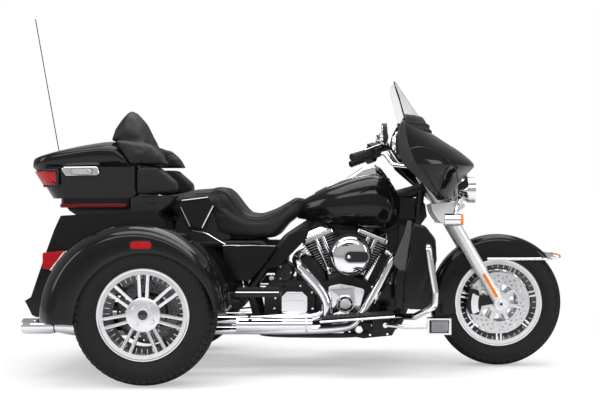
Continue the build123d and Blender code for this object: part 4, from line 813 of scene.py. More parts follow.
# %% Front fender, hem strip and tip lamp
HEM_RISE, CROWN_R = 0.216, 0.343  # hem above the axle, top of the fender from the axle
hem_z = front_hub.z + HEM_RISE
crown = [(0.222, 0.076), (0.290, 0.076), (0.325, 0.072), (0.342, 0.046), (CROWN_R, 0.0)]
crown = crown + [(r, -y) for r, y in reversed(crown[:-1])]
crown = softened(crown, 2)
FENDER_BACK, WRAP_STEPS = radians(193), 64
rings = []
for step in range(WRAP_STEPS + 1):
    section = []
    for r, y in crown:
        start = asin(min(1.0, HEM_RISE / r))
        turn = start + (FENDER_BACK - start) * step / WRAP_STEPS
        section.append((FRONT + r * cos(turn), y, front_hub.z + r * sin(turn)))
    rings.append(section)
front_skin = new_piece("front_fender_skin", skin(rings, closed=False), bodies_of["front_fender"],
                       black_paint, 60)
thicken(front_skin, 0.004)
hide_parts("front_fender")
tip_x = FRONT + sqrt(CROWN_R ** 2 - HEM_RISE ** 2)
hem_strips = []
for side in (-1, 1):
    run = [(FRONT - 0.060, side * 0.0775, hem_z + 0.004), (FRONT + 0.200, side * 0.0775, hem_z + 0.004),
           (tip_x - 0.030, side * 0.068, hem_z + 0.004), (tip_x + 0.004, side * 0.040, hem_z + 0.004),
           (tip_x + 0.012, side * 0.001, hem_z + 0.004)]
    hem_strips.append(tube(softened(run, 3), 0.0075))
for side in (-1, 1):
    knob_z = front_hub.z + 0.225
    hem_strips.append(lathe([(0.0, side * 0.079), (0.016, side * 0.079), (0.016, side * 0.073)],
                            (FRONT - 0.125, 0, knob_z), 24))
new_piece("front_fender_trim", joined(hem_strips), bodies_of["front_fender"], chrome)
tip_rows = [
    (tip_x - 0.036, hem_z, hem_z + 0.036, 0.042, 0.012),
    (tip_x + 0.010, hem_z, hem_z + 0.030, 0.036, 0.012),
    (FRONT + 0.310, hem_z, hem_z + 0.021, 0.026, 0.009),
    (FRONT + 0.319, hem_z + 0.003, hem_z + 0.015, 0.018, 0.005),
]
tip = skin([upright_ring(*row) for row in smooth_rows(tip_rows, 4)], caps=True)
new_piece("front_fender_tip", tip, bodies_of["front_fender"], chrome)
print("front fender", len(front_skin.data.polygons), "faces")

# %% [markdown]
# ## Wheels
# A tyre is lathed from its section: bead, bulging wall with two fine ribs, shoulder, and a crown with grooves
# that run all the way round. The blocks at the shoulders repeat, so the ring group sets them. The cast wheels
# keep their solid with rounded edges; nuts, a hub cap, a valve and a drilled disc are what the eye looks for
# next.


# %% Tyres with tread
def tyre_section(radius, half, rim_r, seat_half, groove):
    """Outer profile of a tyre as (radius, side) from one bead to the other."""
    wall = rim_r + 0.42 * (radius - rim_r)
    edge = 0.955 * radius
    side = [(rim_r - 0.012, seat_half - 0.004), (rim_r + 0.002, seat_half), (rim_r + 0.016, 0.90 * half),
            (rim_r + 0.030, 0.962 * half), (rim_r + 0.033, 0.985 * half), (wall, half - 0.0005),
            (wall + 0.004, half), (wall + 0.008, half - 0.0015), (wall + 0.030, 0.965 * half),
            (edge - 0.014, 0.890 * half), (edge - 0.006, 0.840 * half)]
    crown = []
    for share, deep in [(0.78, 1), (0.52, 1), (0.50, 0), (0.34, 0), (0.32, 1.6), (0.26, 1.6), (0.24, 0),
                        (0.06, 0), (0.04, 1.6)]:
        crown.append((radius - (radius - edge) * (share / 0.8) ** 2 - deep * groove, share * half))
    right = side + crown
    return right + [(r, -y) for r, y in reversed(right)]


def tyre_piece(node, groove, count):
    """A grooved tyre with a ring of blocks on each shoulder."""
    low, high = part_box(node)
    centre = middle(node)
    radius, half = (high[2] - low[2]) / 2, (high[1] - low[1]) / 2
    rim_low, rim_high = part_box(node.replace("tyre", "rim"))
    rim_r = (rim_high[2] - rim_low[2]) / 2
    seat_half = 0.67 * half  # where the bead sits
    carcass = painted(lathe(tyre_section(radius, half, rim_r, seat_half, groove), centre, 144), tyre_rubber)
    meshes = [carcass]
    wide = 0.22 * half
    for side in (-1, 1):
        for share, slant, roll, drop in [(0.66, 0.35, -0.16, 0.0), (0.87, 0.18, -0.55, 0.004)]:
            top = radius - 0.045 * radius * (share / 0.8) ** 2 - drop
            item = block(0.013, 2 * pi * radius / count * 0.66, wide, 1.0, -wide / 2)
            item.transform(Matrix.Rotation(side * slant, 4, "X"))
            item.transform(Matrix.Rotation(side * roll, 4, "Y"))
            item.transform(Matrix.Translation((-0.0066, 0, side * share * half)))
            meshes.append(ring_of(item, count, top, tyre_rubber, centre, start=0.03 * side))
    piece = new_piece(node + "_tread", joined(meshes), bodies_of[node], None, 35)
    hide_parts(node)
    return piece


for node, groove, count in [("front_tyre", 0.005, 54), ("rear_tyre_left", 0.007, 60),
                            ("rear_tyre_right", 0.007, 60)]:
    made_tyre = tyre_piece(node, groove, count)
    print(node, len(made_tyre.data.polygons), "faces")

# %% Cast wheels, hub caps, nuts and valves
wheel_black = finish("wheel_black", (0.006, 0.006, 0.007), (0.012, 0.012, 0.013), (0.22, 0.32), 6.0,
                     Coat_Weight=0.6)
rounded_copy("front_rim", 0.0025, 2)
for side, name in [(1, "left"), (-1, "right")]:
    rounded_copy("rear_rim_" + name, 0.003, 2)
    hub = middle("rear_tyre_" + name)
    lip = lathe([(0.196, side * 0.0745), (0.203, side * 0.0770), (0.207, side * 0.0760),
                 (0.207, side * 0.070)], hub, 128)
    cap = lathe([(0.0, side * 0.079), (0.018, side * 0.0785), (0.022, side * 0.077), (0.023, side * 0.068)],
                hub, 48)
    plate_ring = lathe([(0.0, side * 0.0765), (0.0275, side * 0.0765), (0.0295, side * 0.0735),
                        (0.072, side * 0.0725), (0.0765, side * 0.0700), (0.0775, side * 0.050)], hub, 64)
    nut = faced(screw_head(0.0115, 0.011), side, 0.0730)
    nuts = ring_of(nut, 4, 0.053, chrome, hub, start=0.6)
    valve = tube([tuple(hub + Vector((0.172, side * 0.052, 0.012))),
                  tuple(hub + Vector((0.168, side * 0.082, 0.012)))], 0.004)
    # A black band inside the barrel: painted shade, where the deep barrel lies in shadow.
    band = lathe([(0.146, side * 0.020), (0.182, side * 0.026), (0.190, side * 0.040)], hub, 96)
    tick = faced(block(0.024, 0.0042, 0.004, 0.8), side, 0.0275)
    ticks = ring_of(tick, 42, 0.168, cast_silver, hub)
    for mesh, tone in [(lip, chrome), (plate_ring, cast_silver), (cap, wheel_black), (valve, black_rubber),
                       (band, wheel_black)]:
        mesh.materials.append(tone)
    new_piece("rear_wheel_trim_" + name, joined([lip, plate_ring, cap, nuts, valve, band, ticks]),
              bodies_of["rear_rim_" + name], None)
front_lips = []
for side in (-1, 1):
    lip = painted(lathe([(0.208, side * 0.0445), (0.2155, side * 0.0465), (0.219, side * 0.0455),
                         (0.219, side * 0.040)], front_hub, 128), chrome)
    # A black band inside the barrel: painted shade, where the deep barrel lies in shadow.
    band = painted(lathe([(0.166, side * 0.026), (0.194, side * 0.030), (0.204, side * 0.038)], front_hub,
                         96), wheel_black)
    tick = faced(block(0.022, 0.0036, 0.004, 0.8), side, 0.0295)
    spokes = [faced(block(0.052, 0.010, 0.007, 0.85), side, 0.0310, shift) for shift in (-0.0105, 0.0105)]
    pairs = ring_of(joined(spokes), 7, 0.177, chrome, front_hub, start=radians(-14))
    front_lips += [lip, band, ring_of(tick, 40, 0.184, cast_silver, front_hub), pairs]
new_piece("front_wheel_lips", joined(front_lips), bodies_of["front_rim"], None)
print("front wheel trims", len(front_lips))

# %% [markdown]
# A floating brake disc is a drilled ring held by a carrier. The holes are real: short rods from the ring
# group are cut out of the lathed ring by a Boolean modifier. Holes in three circles, each turned against the
# last, leave the spiral look of a drilled disc.


# %% Drilled discs
DISC_THICK = 0.0055


def drilled_disc(node, inner, hole_rows, arms, steel, carrier):
    """A ring with holes, a hub and arms between them, for each solid disc of a node."""
    low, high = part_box(node)
    centre = middle(node)
    radius, half = (high[2] - low[2]) / 2, DISC_THICK / 2
    spots = [centre.y]
    if high[1] - low[1] > 0.05:
        spots = [low[1] + half, high[1] - half]
    meshes = []
    for y in spots:
        place = Vector((centre.x, y, centre.z))
        ring = lathe([(inner, -half), (inner, half), (radius - 0.001, half), (radius, half - 0.001),
                      (radius, 0.001 - half), (radius - 0.001, -half), (inner, -half)], place, 120)
        bits = []
        for r, count, start in hole_rows:
            bit = screw_head(0.0042, 0.02, 10, 0.9)
            bits.append(ring_of(bit, count, r, steel, place, start=start))
        body = bpy.data.objects.new("disc_blank", ring)
        tool = bpy.data.objects.new("drills", joined(bits))
        for thing in (body, tool):
            scene.collection.objects.link(thing)
        cut = body.modifiers.new("holes", "BOOLEAN")
        cut.object, cut.operation, cut.solver = tool, "DIFFERENCE", "EXACT"
        drilled = baked(body)
        for thing in (body, tool):
            bpy.data.objects.remove(thing)
        drilled.materials.clear()
        drilled.materials.append(steel)
        hub = painted(lathe([(0.022, -half), (0.022, half), (0.056, half), (0.056, -half), (0.022, -half)],
                            place, 64), carrier)
        arm = block(inner - 0.044, 0.018, 2 * half - 0.0006, 1.0, -half + 0.0003)
        arm.transform(Matrix.Translation(((inner - 0.044) / 2, 0, 0)))
        spokes = ring_of(arm, arms, 0.050, carrier, place, start=0.2)
        pin = screw_head(0.007, half + 0.0016, 16, 0.9)
        back = pin.copy()
        back.transform(Matrix.Rotation(pi, 4, "X"))
        pins = ring_of(joined([pin, back]), arms, inner + 0.006, chrome, place, start=0.2)
        meshes += [drilled, hub, spokes, pins]
    piece = new_piece(node + "_drilled", joined(meshes), bodies_of[node], None, 30)
    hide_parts(node)
    return piece


front_holes = [(0.108, 20, 0.0), (0.122, 20, 0.16), (0.137, 20, 0.30)]
rear_holes = [(0.104, 18, 0.0), (0.118, 18, 0.17), (0.132, 18, 0.34)]
# The rear discs take the darker steel: painted shade inside the wheels.
for node, inner, holes, steel, carrier in [("front_discs", 0.094, front_holes, disc_steel, cast_silver),
                                           ("rear_disc_left", 0.090, rear_holes, shaded_disc_steel, wheel_black),
                                           ("rear_disc_right", 0.090, rear_holes, shaded_disc_steel, wheel_black)]:
    made_disc = drilled_disc(node, inner, holes, 7, steel, carrier)
    print(node, len(made_disc.data.polygons), "faces")

# %% [markdown]
# ## Seat and backrest
# A saddle is foam under a stretched cover. The cover is drawn a little small through its sections, given an
# even mesh, and blown up by the cloth solver until it swells between its fixed edges, as foam pushes leather
# out. The swelling is capped, so that the seat keeps its size. Piping is laid on afterwards, along the edges
# of the pads.


# %% Blowing up a cover
SWELL_FRAMES = 20


def swell(mesh, voxel, most, fixed_below):
    """An evenly meshed copy of a cover, swollen by pressure; points below a height stay."""
    cover = bpy.data.objects.new("cover", mesh)
    scene.collection.objects.link(cover)
    even = cover.modifiers.new("even", "REMESH")
    even.mode, even.voxel_size = "VOXEL", voxel
    calm = cover.modifiers.new("calm", "SMOOTH")
    calm.factor, calm.iterations = 0.5, 6
    start = baked(cover)
    cover.modifiers.clear()
    cover.data = start
    rest = [v.co.copy() for v in start.vertices]
    held = cover.vertex_groups.new(name="held")
    held.add([v.index for v in start.vertices if v.co.z < fixed_below(v.co.x)], 1.0, "REPLACE")
    cloth = cover.modifiers.new("foam", "CLOTH")
    cloth.settings.use_pressure = True
    cloth.settings.uniform_pressure_force = 4.0
    cloth.settings.vertex_group_mass = "held"
    cloth.settings.effector_weights.gravity = 0.0
    cloth.settings.quality = 4
    cloth.point_cache.frame_start, cloth.point_cache.frame_end = 1, SWELL_FRAMES
    for number in range(1, SWELL_FRAMES + 1):
        scene.frame_set(number)
    blown = cover.evaluated_get(bpy.context.evaluated_depsgraph_get()).data
    for vertex, moved, was in zip(start.vertices, blown.vertices, rest):
        step = moved.co - was
        vertex.co = was + step * min(1.0, most / max(step.length, 1e-6))
    scene.frame_set(1)
    cover.modifiers.clear()
    finer = cover.modifiers.new("finer", "SUBSURF")
    finer.levels = finer.render_levels = 1
    result = baked(cover)
    bpy.data.objects.remove(cover)
    return result


print("covers swell over", SWELL_FRAMES, "frames")

# %% The saddle
seat_rows = [
    # x, low z, high z, half width, corner radius
    (REAR - 0.093, 0.806, 0.844, 0.180, 0.018),
    (REAR + 0.008, 0.802, 0.850, 0.184, 0.024),
    (REAR + 0.064, 0.754, 0.858, 0.184, 0.036),
    (REAR + 0.088, 0.718, 0.864, 0.184, 0.040),
    (REAR + 0.166, 0.711, 0.880, 0.184, 0.052),
    (REAR + 0.244, 0.694, 0.886, 0.184, 0.054),
    (REAR + 0.262, 0.650, 0.893, 0.184, 0.054),
    (REAR + 0.290, 0.646, 0.893, 0.192, 0.052),
    (REAR + 0.320, 0.646, 0.880, 0.196, 0.050),
    (REAR + 0.356, 0.646, 0.836, 0.200, 0.046),
    (REAR + 0.418, 0.646, 0.768, 0.202, 0.042),
    (REAR + 0.470, 0.646, 0.760, 0.196, 0.040),
    (REAR + 0.550, 0.650, 0.782, 0.166, 0.040),
    (REAR + 0.620, 0.722, 0.820, 0.117, 0.032),
    (REAR + 0.672, 0.762, 0.846, 0.090, 0.028),
    (REAR + 0.706, 0.800, 0.834, 0.060, 0.012),
]
cover = skin([upright_ring(*row) for row in smooth_rows(seat_rows, 3)], caps=True)
seat_mesh = swell(cover, 0.009, 0.008, lambda x: 0.72 if x > REAR + 0.255 else 0.80)
seat = new_piece("seat_cover", seat_mesh, bodies_of["seat"], seat_leather, 80)
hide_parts("seat")
print("seat", len(seat_mesh.polygons), "faces")

# %% Backrest and arm pads
pad_mesh = swell(welded_solid("backrest"), 0.009, 0.007, lambda x: 1.03)
for vertex in pad_mesh.vertices:
    vertex.co.z += 0.013 * max(0.0, vertex.co.z - 1.15) / 0.13
backrest = new_piece("backrest_cover", pad_mesh, bodies_of["backrest"], seat_leather, 80)
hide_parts("backrest")
print("backrest", len(pad_mesh.polygons), "faces")

# %% Piping
piping = []
for side in (-1, 1):
    edge = []
    for x, low, high, half, corner in smooth_rows(seat_rows[4:-1], 3):
        edge.append((x, side * (half - 0.30 * corner + 0.003), high - 0.30 * corner + 0.001))
    piping.append(tube(edge, 0.0032, 8))
across_rows = [(REAR + 0.318, 0.888), (REAR + 0.075, 0.864)]
for x, z in across_rows:
    line = [(x, y / 10 * 0.150, z + 0.002 - 0.010 * (y / 10) ** 2) for y in range(-10, 11)]
    piping.append(tube(line, 0.003, 8))
new_piece("seat_piping", joined(piping), bodies_of["seat"], seat_leather)
print("piping runs", len(piping))

# %% [markdown]
# ## Engine
# An air-cooled barrel is a stack of thin fins cast round a dark core, painted black, with the rims of the
# fins milled bright afterwards. The fins are built as thin plates on the solid's own axis; their rims carry a
# second finish. A core just inside the rims keeps the gaps dark, as the deep gaps of a real barrel are.

# %% Barrels with milled fins
crank_z = 0.326
LEAN = radians(22.5)
FINS, FIN_FOOT, FIN_PITCH = 16, 0.145, 0.0129
fin_meshes = []


def octagon(half, deep, cut, z):
    """An oblong ring with cut corners about the Z axis."""
    corners = [(-half, cut - deep), (cut - half, -deep), (half - cut, -deep), (half, cut - deep),
               (half, deep - cut), (half - cut, deep), (cut - half, deep), (-half, deep - cut)]
    return [(x, y, z) for x, y in corners]


for lean in (-1, 1):
    place = Matrix.Translation((CRANK, 0, crank_z)) @ Matrix.Rotation(lean * LEAN, 4, "Y")
    core = painted(skin([octagon(0.042, 0.046, 0.016, 0.136), octagon(0.082, 0.070, 0.020, 0.344)],
                        caps=True), engine_black)
    stack = [core]
    for k in range(FINS):
        foot = FIN_FOOT + k * FIN_PITCH
        half = 0.050 + (foot - FIN_FOOT) * 0.225
        deep = min(half + 0.006, 0.080)
        rims = [octagon(half - 0.0012, deep - 0.0012, 0.022, foot), octagon(half, deep, 0.022, foot + 0.0010),
                octagon(half, deep, 0.022, foot + 0.0026),
                octagon(half - 0.0012, deep - 0.0012, 0.022, foot + 0.0036)]
        fin = painted(skin(rims, caps=True), engine_black, cast_silver)
        for polygon in fin.polygons:
            polygon.material_index = 1 if len(polygon.vertices) == 4 else 0
        stack.append(fin)
    whole = joined(stack)
    whole.transform(place)
    fin_meshes.append(whole)
barrels = new_piece("cylinder_fins", joined(fin_meshes), bodies_of["cylinders"], None, 30)
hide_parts("cylinders")
print("fins", 2 * FINS, "faces", len(barrels.data.polygons))

# %% [markdown]
# The air cleaner is a spun chrome dome on a black backing ring. A dark oval slot crosses it, between two
# curved flutes. The timing cover below it is round, with a ring of screws. Screw heads come from the ring
# group.

# %% Air cleaner
air = Vector((CRANK + 0.022, 0.0, 0.566))
dome = painted(lathe([(0.0, -0.290), (0.030, -0.2895), (0.062, -0.287), (0.082, -0.281), (0.092, -0.272),
                      (0.0965, -0.258), (0.0975, -0.240), (0.096, -0.215), (0.090, -0.190)], air, 96), chrome)
backing = painted(lathe([(0.084, -0.214), (0.103, -0.212), (0.106, -0.205), (0.106, -0.196), (0.100, -0.176),
                         (0.052, -0.175), (0.052, -0.081), (0.0, -0.081)], air, 96), engine_black)


def oval(x_low, x_high, z_mid, half, steps=10):
    """A slot outline of (x, z) points with round ends."""
    points = []
    for x, start in [(x_high - half, -90), (x_low + half, 90)]:
        points += [(x + half * cos(radians(start + 180 * k / steps)),
                    z_mid + half * sin(radians(start + 180 * k / steps))) for k in range(steps + 1)]
    return points


bar_rim = painted(plate(oval(air.x - 0.030, air.x + 0.094, air.z - 0.004, 0.031), -0.2925, -0.262), chrome)
bar_face = painted(plate(oval(air.x - 0.024, air.x + 0.090, air.z - 0.004, 0.025), -0.2935, -0.262),
                   engine_black)
cap_screw = painted(lathe([(0.0, -0.2965), (0.006, -0.2965), (0.008, -0.295), (0.008, -0.29)],
                          air + Vector((-0.006, 0, -0.004)), 20), chrome)
flutes = []
for z, low, high in [(0.052, -0.052, 0.010), (0.060, -0.040, 0.030), (-0.056, 0.000, 0.070),
                     (-0.065, 0.012, 0.056)]:
    bow = [(air.x + low + (high - low) * k / 8, -0.2875 + 0.010 * abs(k / 4 - 1) ** 2,
            air.z + z - 0.012 * (k / 4 - 1) ** 2) for k in range(9)]
    flutes.append(painted(tube(bow, 0.0034, 8), engine_black))
cleaner = new_piece("air_cleaner_dome", joined([dome, backing, bar_rim, bar_face, cap_screw] + flutes),
                    bodies_of["air_cleaner"], None)
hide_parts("air_cleaner")
print("air cleaner", len(cleaner.data.polygons), "faces")


# %% Covers with their screws
def screws_at(spots, y, side, radius=0.006, height=0.006, sides=12):
    """Screw heads standing on a side face, at (x, z) spots."""
    heads = []
    for x, z in spots:
        head = screw_head(radius, height, sides)
        head.transform(Matrix.Rotation(radians(90) * (1 if side < 0 else -1), 4, "X"))
        head.transform(Matrix.Translation((x, y, z)))
        head.materials.append(chrome)
        heads.append(head)
    return heads


timing = Vector((CRANK, 0, crank_z))
timing_cover = painted(lathe([(0.0, -0.196), (0.026, -0.196), (0.028, -0.1935), (0.037, -0.1935),
                              (0.041, -0.192), (0.043, -0.186), (0.043, -0.176)], timing, 64), chrome)
insert = painted(lathe([(0.0, -0.1975), (0.022, -0.1975), (0.0235, -0.196)], timing, 48), cast_silver)
dark_ring = painted(lathe([(0.026, -0.1962), (0.0275, -0.1958), (0.036, -0.1938), (0.0365, -0.1930)], timing,
                          48), engine_black)
cover_meshes = [timing_cover, insert, dark_ring]
head = faced(screw_head(0.0038, 0.004, 6), -1, 0.1945)
cover_meshes.append(ring_of(head, 5, 0.0318, chrome, timing))
cover_meshes += screws_at(ahead_of(CRANK, [(-0.070, 0.282), (-0.072, 0.396), (-0.018, 0.410), (0.040, 0.398),
                                           (0.080, 0.386), (0.058, 0.304)]), -0.178, -1, 0.0055, 0.005)
gear_spots = ahead_of(CRANK, [(-0.350, 0.300), (-0.345, 0.352), (-0.300, 0.410), (-0.222, 0.412),
                              (-0.165, 0.380), (-0.162, 0.300), (-0.260, 0.255)])
cover_meshes += screws_at(gear_spots, -0.150, -1, 0.0075, 0.008, 6)
step_plate = painted(plate(ahead_of(CRANK,
                                    [(-0.290, 0.350), (-0.206, 0.350), (-0.212, 0.382), (-0.284, 0.382)]),
                           -0.229, -0.200), chrome)
rib_plate = painted(plate(oval(CRANK - 0.306, CRANK - 0.190, 0.318, 0.028), -0.230, -0.210), chrome)
new_piece("engine_cover_details", joined(cover_meshes + [step_plate, rib_plate]), bodies_of["engine_covers"],
          None)
print("cover details", len(cover_meshes))

# %% [markdown]
# Each rocker box is two castings, one on the other, so a dark joint line runs round it, and the upper one is
# held by four socket screws. The pushrod covers swell at their foot, where a spring cup closes them.

# %% Rocker box joints and pushrod cups
upper_meshes = []
for lean in (-1, 1):
    place = Matrix.Translation((CRANK, 0, crank_z)) @ Matrix.Rotation(lean * LEAN, 4, "Y")
    joint = skin([octagon(0.0862, 0.0962, 0.022, 0.3655), octagon(0.0862, 0.0962, 0.022, 0.3685)], caps=True)
    joint.transform(Matrix.Translation((0, -0.008, 0)))
    joint.materials.append(engine_black)
    bits = [joint]
    for x in (-0.058, 0.058):
        for y in (-0.078, 0.062):
            head = screw_head(0.008, 0.007, 12)
            head.transform(Matrix.Translation((x, y, 0.384)))
            head.materials.append(engine_black)
            bits.append(head)
    for x in (-0.016, 0.020):
        cup = painted(lathe([(0.0112, 0.160), (0.0165, 0.160), (0.0172, 0.164), (0.0172, 0.184),
                             (0.0150, 0.188), (0.0125, 0.192), (0.0118, 0.205)], (x, -0.092, 0), 24, "Z"),
                      chrome)
        bits.append(cup)
    group = joined(bits)
    group.transform(place)
    upper_meshes.append(group)
new_piece("rocker_box_details", joined(upper_meshes), bodies_of["rocker_covers"], None)
print("rocker details", len(upper_meshes))

# %% [markdown]
# The exhaust runs under bright heat shields held by hose clamps. The brake's master cylinder sits on a black
# plate behind the rider's board, and the starter's end cap stands above the gearbox.

# %% Heat shield, bracket plate and starter cap
shield_line = ahead_of(CRANK, [(-0.160, -0.2855, 0.236), (-0.330, -0.2955, 0.236), (-0.520, -0.3015, 0.236)])
shield_mesh = painted(tube(softened(shield_line, 2), 0.037, 24), chrome)
clamps = []
for x in (CRANK - 0.186, CRANK - 0.480):
    band = painted(lathe([(0.0375, -0.005), (0.0385, -0.004), (0.0385, 0.004), (0.0375, 0.005)],
                         (x, -0.2945, 0.236), 32, "X"), cast_silver)
    clamps.append(band)
new_piece("heat_shield", joined([shield_mesh] + clamps), bodies_of["exhaust_pipes"], None)
bracket = painted(plate(ahead_of(CRANK, [(-0.020, 0.196), (0.030, 0.232), (0.236, 0.238), (0.250, 0.210),
                                         (0.228, 0.172), (0.086, 0.158), (0.010, 0.172)]), -0.190, -0.160),
                  engine_black)
spots = ahead_of(CRANK, [(0.020, 0.190), (0.120, 0.176), (0.205, 0.180), (0.130, 0.222), (0.214, 0.222)])
cylinder_cap = painted(lathe([(0.0, -0.226), (0.016, -0.226), (0.020, -0.222), (0.020, -0.190)],
                             (CRANK + 0.066, 0, 0.206), 32), chrome)
new_piece("brake_bracket", joined([bracket, cylinder_cap] + screws_at(spots, -0.190, -1, 0.008, 0.008, 6)),
          bodies_of["frame"], None)
starter_at = Vector((CRANK - 0.302, 0, 0.478))
starter = painted(lathe([(0.0, -0.160), (0.030, -0.160), (0.042, -0.157), (0.0465, -0.150), (0.0465, -0.100)],
                        starter_at, 48), engine_black)
terminal = painted(lathe([(0.0, -0.176), (0.012, -0.176), (0.014, -0.172), (0.014, -0.156)],
                         starter_at + Vector((-0.060, 0, -0.026)), 24), chrome)
bolt = faced(screw_head(0.006, 0.008, 6), -1, 0.158)
new_piece("starter_cap", joined([starter, terminal, ring_of(bolt, 3, 0.034, cast_silver, starter_at)]),
          bodies_of["gearbox"], None)
print("shield, bracket and starter placed")

# %% [markdown]
# The pipes are bent tubes, so their bends must run round with no corner. Each is a bar drawn along a line of
# points whose corners have been cut three times. A wider bar over the fall of each head pipe is its heat
# shield.

# %% Exhaust pipes
PIPE_END = REAR + 0.2653
pipe_lines = [
    ([(CRANK - 0.2002, -0.036, 0.5732), (CRANK - 0.2409, -0.036, 0.5564), (CRANK - 0.2409, -0.262, 0.5304),
      (CRANK - 0.092, -0.262, 0.374), (CRANK - 0.092, -0.262, 0.268), (CRANK - 0.330, -0.262, 0.266),
      (CRANK - 0.420, -0.300, 0.262), (PIPE_END, -0.300, 0.262)], 0.022),
    ([(CRANK + 0.2002, -0.036, 0.5732), (CRANK + 0.2409, -0.036, 0.5564), (CRANK + 0.2409, -0.226, 0.5564),
      (CRANK + 0.066, -0.226, 0.236), (CRANK - 0.060, -0.300, 0.214), (PIPE_END, -0.300, 0.214)], 0.022),
    ([(CRANK - 0.470, -0.300, 0.214), (CRANK - 0.470, 0.300, 0.214)], 0.020),
    ([(CRANK - 0.440, 0.300, 0.214), (PIPE_END, 0.300, 0.214)], 0.022),
]
pipes = [tube(softened(line, 3), radius, 24) for line, radius in pipe_lines]
for line, radius in [(pipe_lines[0][0][2:5], 0.0265), (pipe_lines[1][0][2:4], 0.0265)]:
    run = softened(line, 3)
    pipes.append(tube(run[len(run) // 8:-len(run) // 10], radius, 24))
exhaust = new_piece("exhaust_tubes", joined(pipes), bodies_of["exhaust_pipes"], chrome)
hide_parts("exhaust_pipes")
print("pipes", len(pipes))

# %% [markdown]
# ## What stands dark behind the engine
# Round the bright engine hang the parts that nobody polishes: ignition coils under the tank, a finned voltage
# regulator on the front tubes, the oil lines' bracket and the lower rails. They are black and close the view
# through the machine, which is why the chrome reads so clearly. The black plates are larger than those parts
# and also fill the gaps between them where only shade is seen, so there they are painted shade.

# %% Coils, regulator, bracket and rails
# Black plates: partly the dark parts named above, partly painted shade in the gaps between them.
part_and_shade_plates = [
    # half width, outline in the side view ahead of the crank
    (0.052, [(-0.150, 0.668), (-0.060, 0.640), (0.070, 0.640), (0.200, 0.668), (0.262, 0.700),
             (0.262, 0.742), (-0.190, 0.742), (-0.190, 0.704)]),
    (0.058, [(0.206, 0.262), (0.292, 0.262), (0.322, 0.400), (0.334, 0.700), (0.270, 0.716),
             (0.262, 0.610), (0.238, 0.450)]),
    (0.070, [(-0.246, 0.400), (-0.086, 0.400), (-0.104, 0.470), (-0.146, 0.540), (-0.196, 0.556),
             (-0.246, 0.530)]),
    (0.030, [(0.100, 0.400), (0.215, 0.400), (0.262, 0.540), (0.272, 0.700), (0.190, 0.700),
             (0.180, 0.560)]),
    (0.028, [(0.262, 0.700), (0.366, 0.690), (0.412, 0.752), (0.404, 0.812), (0.380, 0.846),
             (0.262, 0.846)]),
]
part_and_shade_meshes = [plate(ahead_of(CRANK, outline), -half, half) for half, outline in part_and_shade_plates]
for side in (-1, 1):
    coil = plate(oval(CRANK - 0.036, CRANK + 0.060, 0.668, 0.020, 6), *across(side, 0.050, 0.072))
    rail = ahead_of(CRANK, [(-0.424, side * 0.188, 0.196), (-0.400, side * 0.204, 0.178),
                            (-0.100, side * 0.210, 0.174), (0.060, side * 0.206, 0.176),
                            (0.110, side * 0.180, 0.190)])
    part_and_shade_meshes += [coil, tube(softened(rail, 2), 0.012, 12)]
    rib = plate([(0.0, 0.0), (0.066, 0.0), (0.066, 0.006), (0.0, 0.006)], *across(side, 0.057, 0.078))
    part_and_shade_meshes.append(row_of(rib, 7, (0.005, 0, 0.017), engine_black, (CRANK + 0.243, 0, 0.436)))
part_and_shade_piece = new_piece("engine_bay_parts", joined(part_and_shade_meshes), bodies_of["frame"],
                       engine_black, 30)
round_edges(part_and_shade_piece, 0.003)
skirts = []
for side in (-1, 1):
    skirts.append(plate(ahead_of(REAR, [(0.062, 0.716), (0.100, 0.790), (0.330, 0.760), (0.340, 0.640),
                                        (0.180, 0.622), (0.062, 0.630)]), *across(side, 0.150, 0.186)))
skirt_piece = new_piece("seat_skirts", joined(skirts), bodies_of["side_panels"], engine_black)
round_edges(skirt_piece, 0.006)
print("dark parts", len(part_and_shade_meshes) + len(skirts))

# %% [markdown]
# ## Leg shields
# Each shield is a smooth box behind the engine guard. Its lower half is a wider black skirt, and a dull grey
# vane on its rear edge turns the wind away from the knees.

# %% Skirts and vanes of the leg shields
shield_skirts, vanes = [], []
for side in (-1, 1):
    front_skirt = ahead_of(CRANK, [(0.300, 0.318), (0.384, 0.316), (0.404, 0.345), (0.418, 0.430),
                                   (0.4335, 0.560), (0.390, 0.600), (0.330, 0.480)])
    rear_skirt = ahead_of(CRANK, [(0.238, 0.322), (0.330, 0.318), (0.330, 0.470), (0.286, 0.500),
                                  (0.250, 0.510), (0.236, 0.430)])
    for points, inner, outer in [(front_skirt, 0.306, 0.3605), (rear_skirt, 0.262, 0.352)]:
        shield_skirts.append(plate(soft_outline(points), *across(side, inner, outer)))
    vane = ahead_of(CRANK, [(0.2955, 0.739), (0.3155, 0.734), (0.314, 0.668), (0.300, 0.604), (0.286, 0.494),
                            (0.256, 0.500), (0.2225, 0.540), (0.2515, 0.610), (0.276, 0.668)])
    vanes.append(plate(vane, *across(side, 0.334, 0.349)))
skirts_piece = new_piece("leg_shield_skirts", joined(shield_skirts), bodies_of["lower_fairings"],
                         black_paint)
round_edges(skirts_piece, 0.014, 4)
vane_grey = finish("vane_grey", (0.040, 0.041, 0.044), (0.058, 0.059, 0.062), (0.40, 0.52), 5.0,
                   grain_scale=900, pebble=0.6, bump=0.15, Specular_IOR_Level=0.3)
vane_piece = new_piece("leg_shield_vanes", joined(vanes), bodies_of["lower_fairings"],
                       vane_grey)
round_edges(vane_piece, 0.004, 3)
print("skirts", len(shield_skirts), "vanes", len(vanes))

# %% [markdown]
# ## Fairing details
# Pressed lines keep the large sides of the fairing from looking like a balloon: one runs from the rear rim
# over the side to the lamp, one below it. A ray cast from the side finds the surface, so that each line lies
# on it. The dark vent trim closes the joint between fairing and windshield.

# %% Pressed lines and vent trim
bowl_surface = surface_of(bowl)


def on_side(x, z, side):
    """The point of the fairing's side at a place in the side view."""
    hit = bowl_surface.ray_cast(Vector((x, side * 2.0, z)), Vector((0, -side, 0)))[0]
    return tuple(hit)


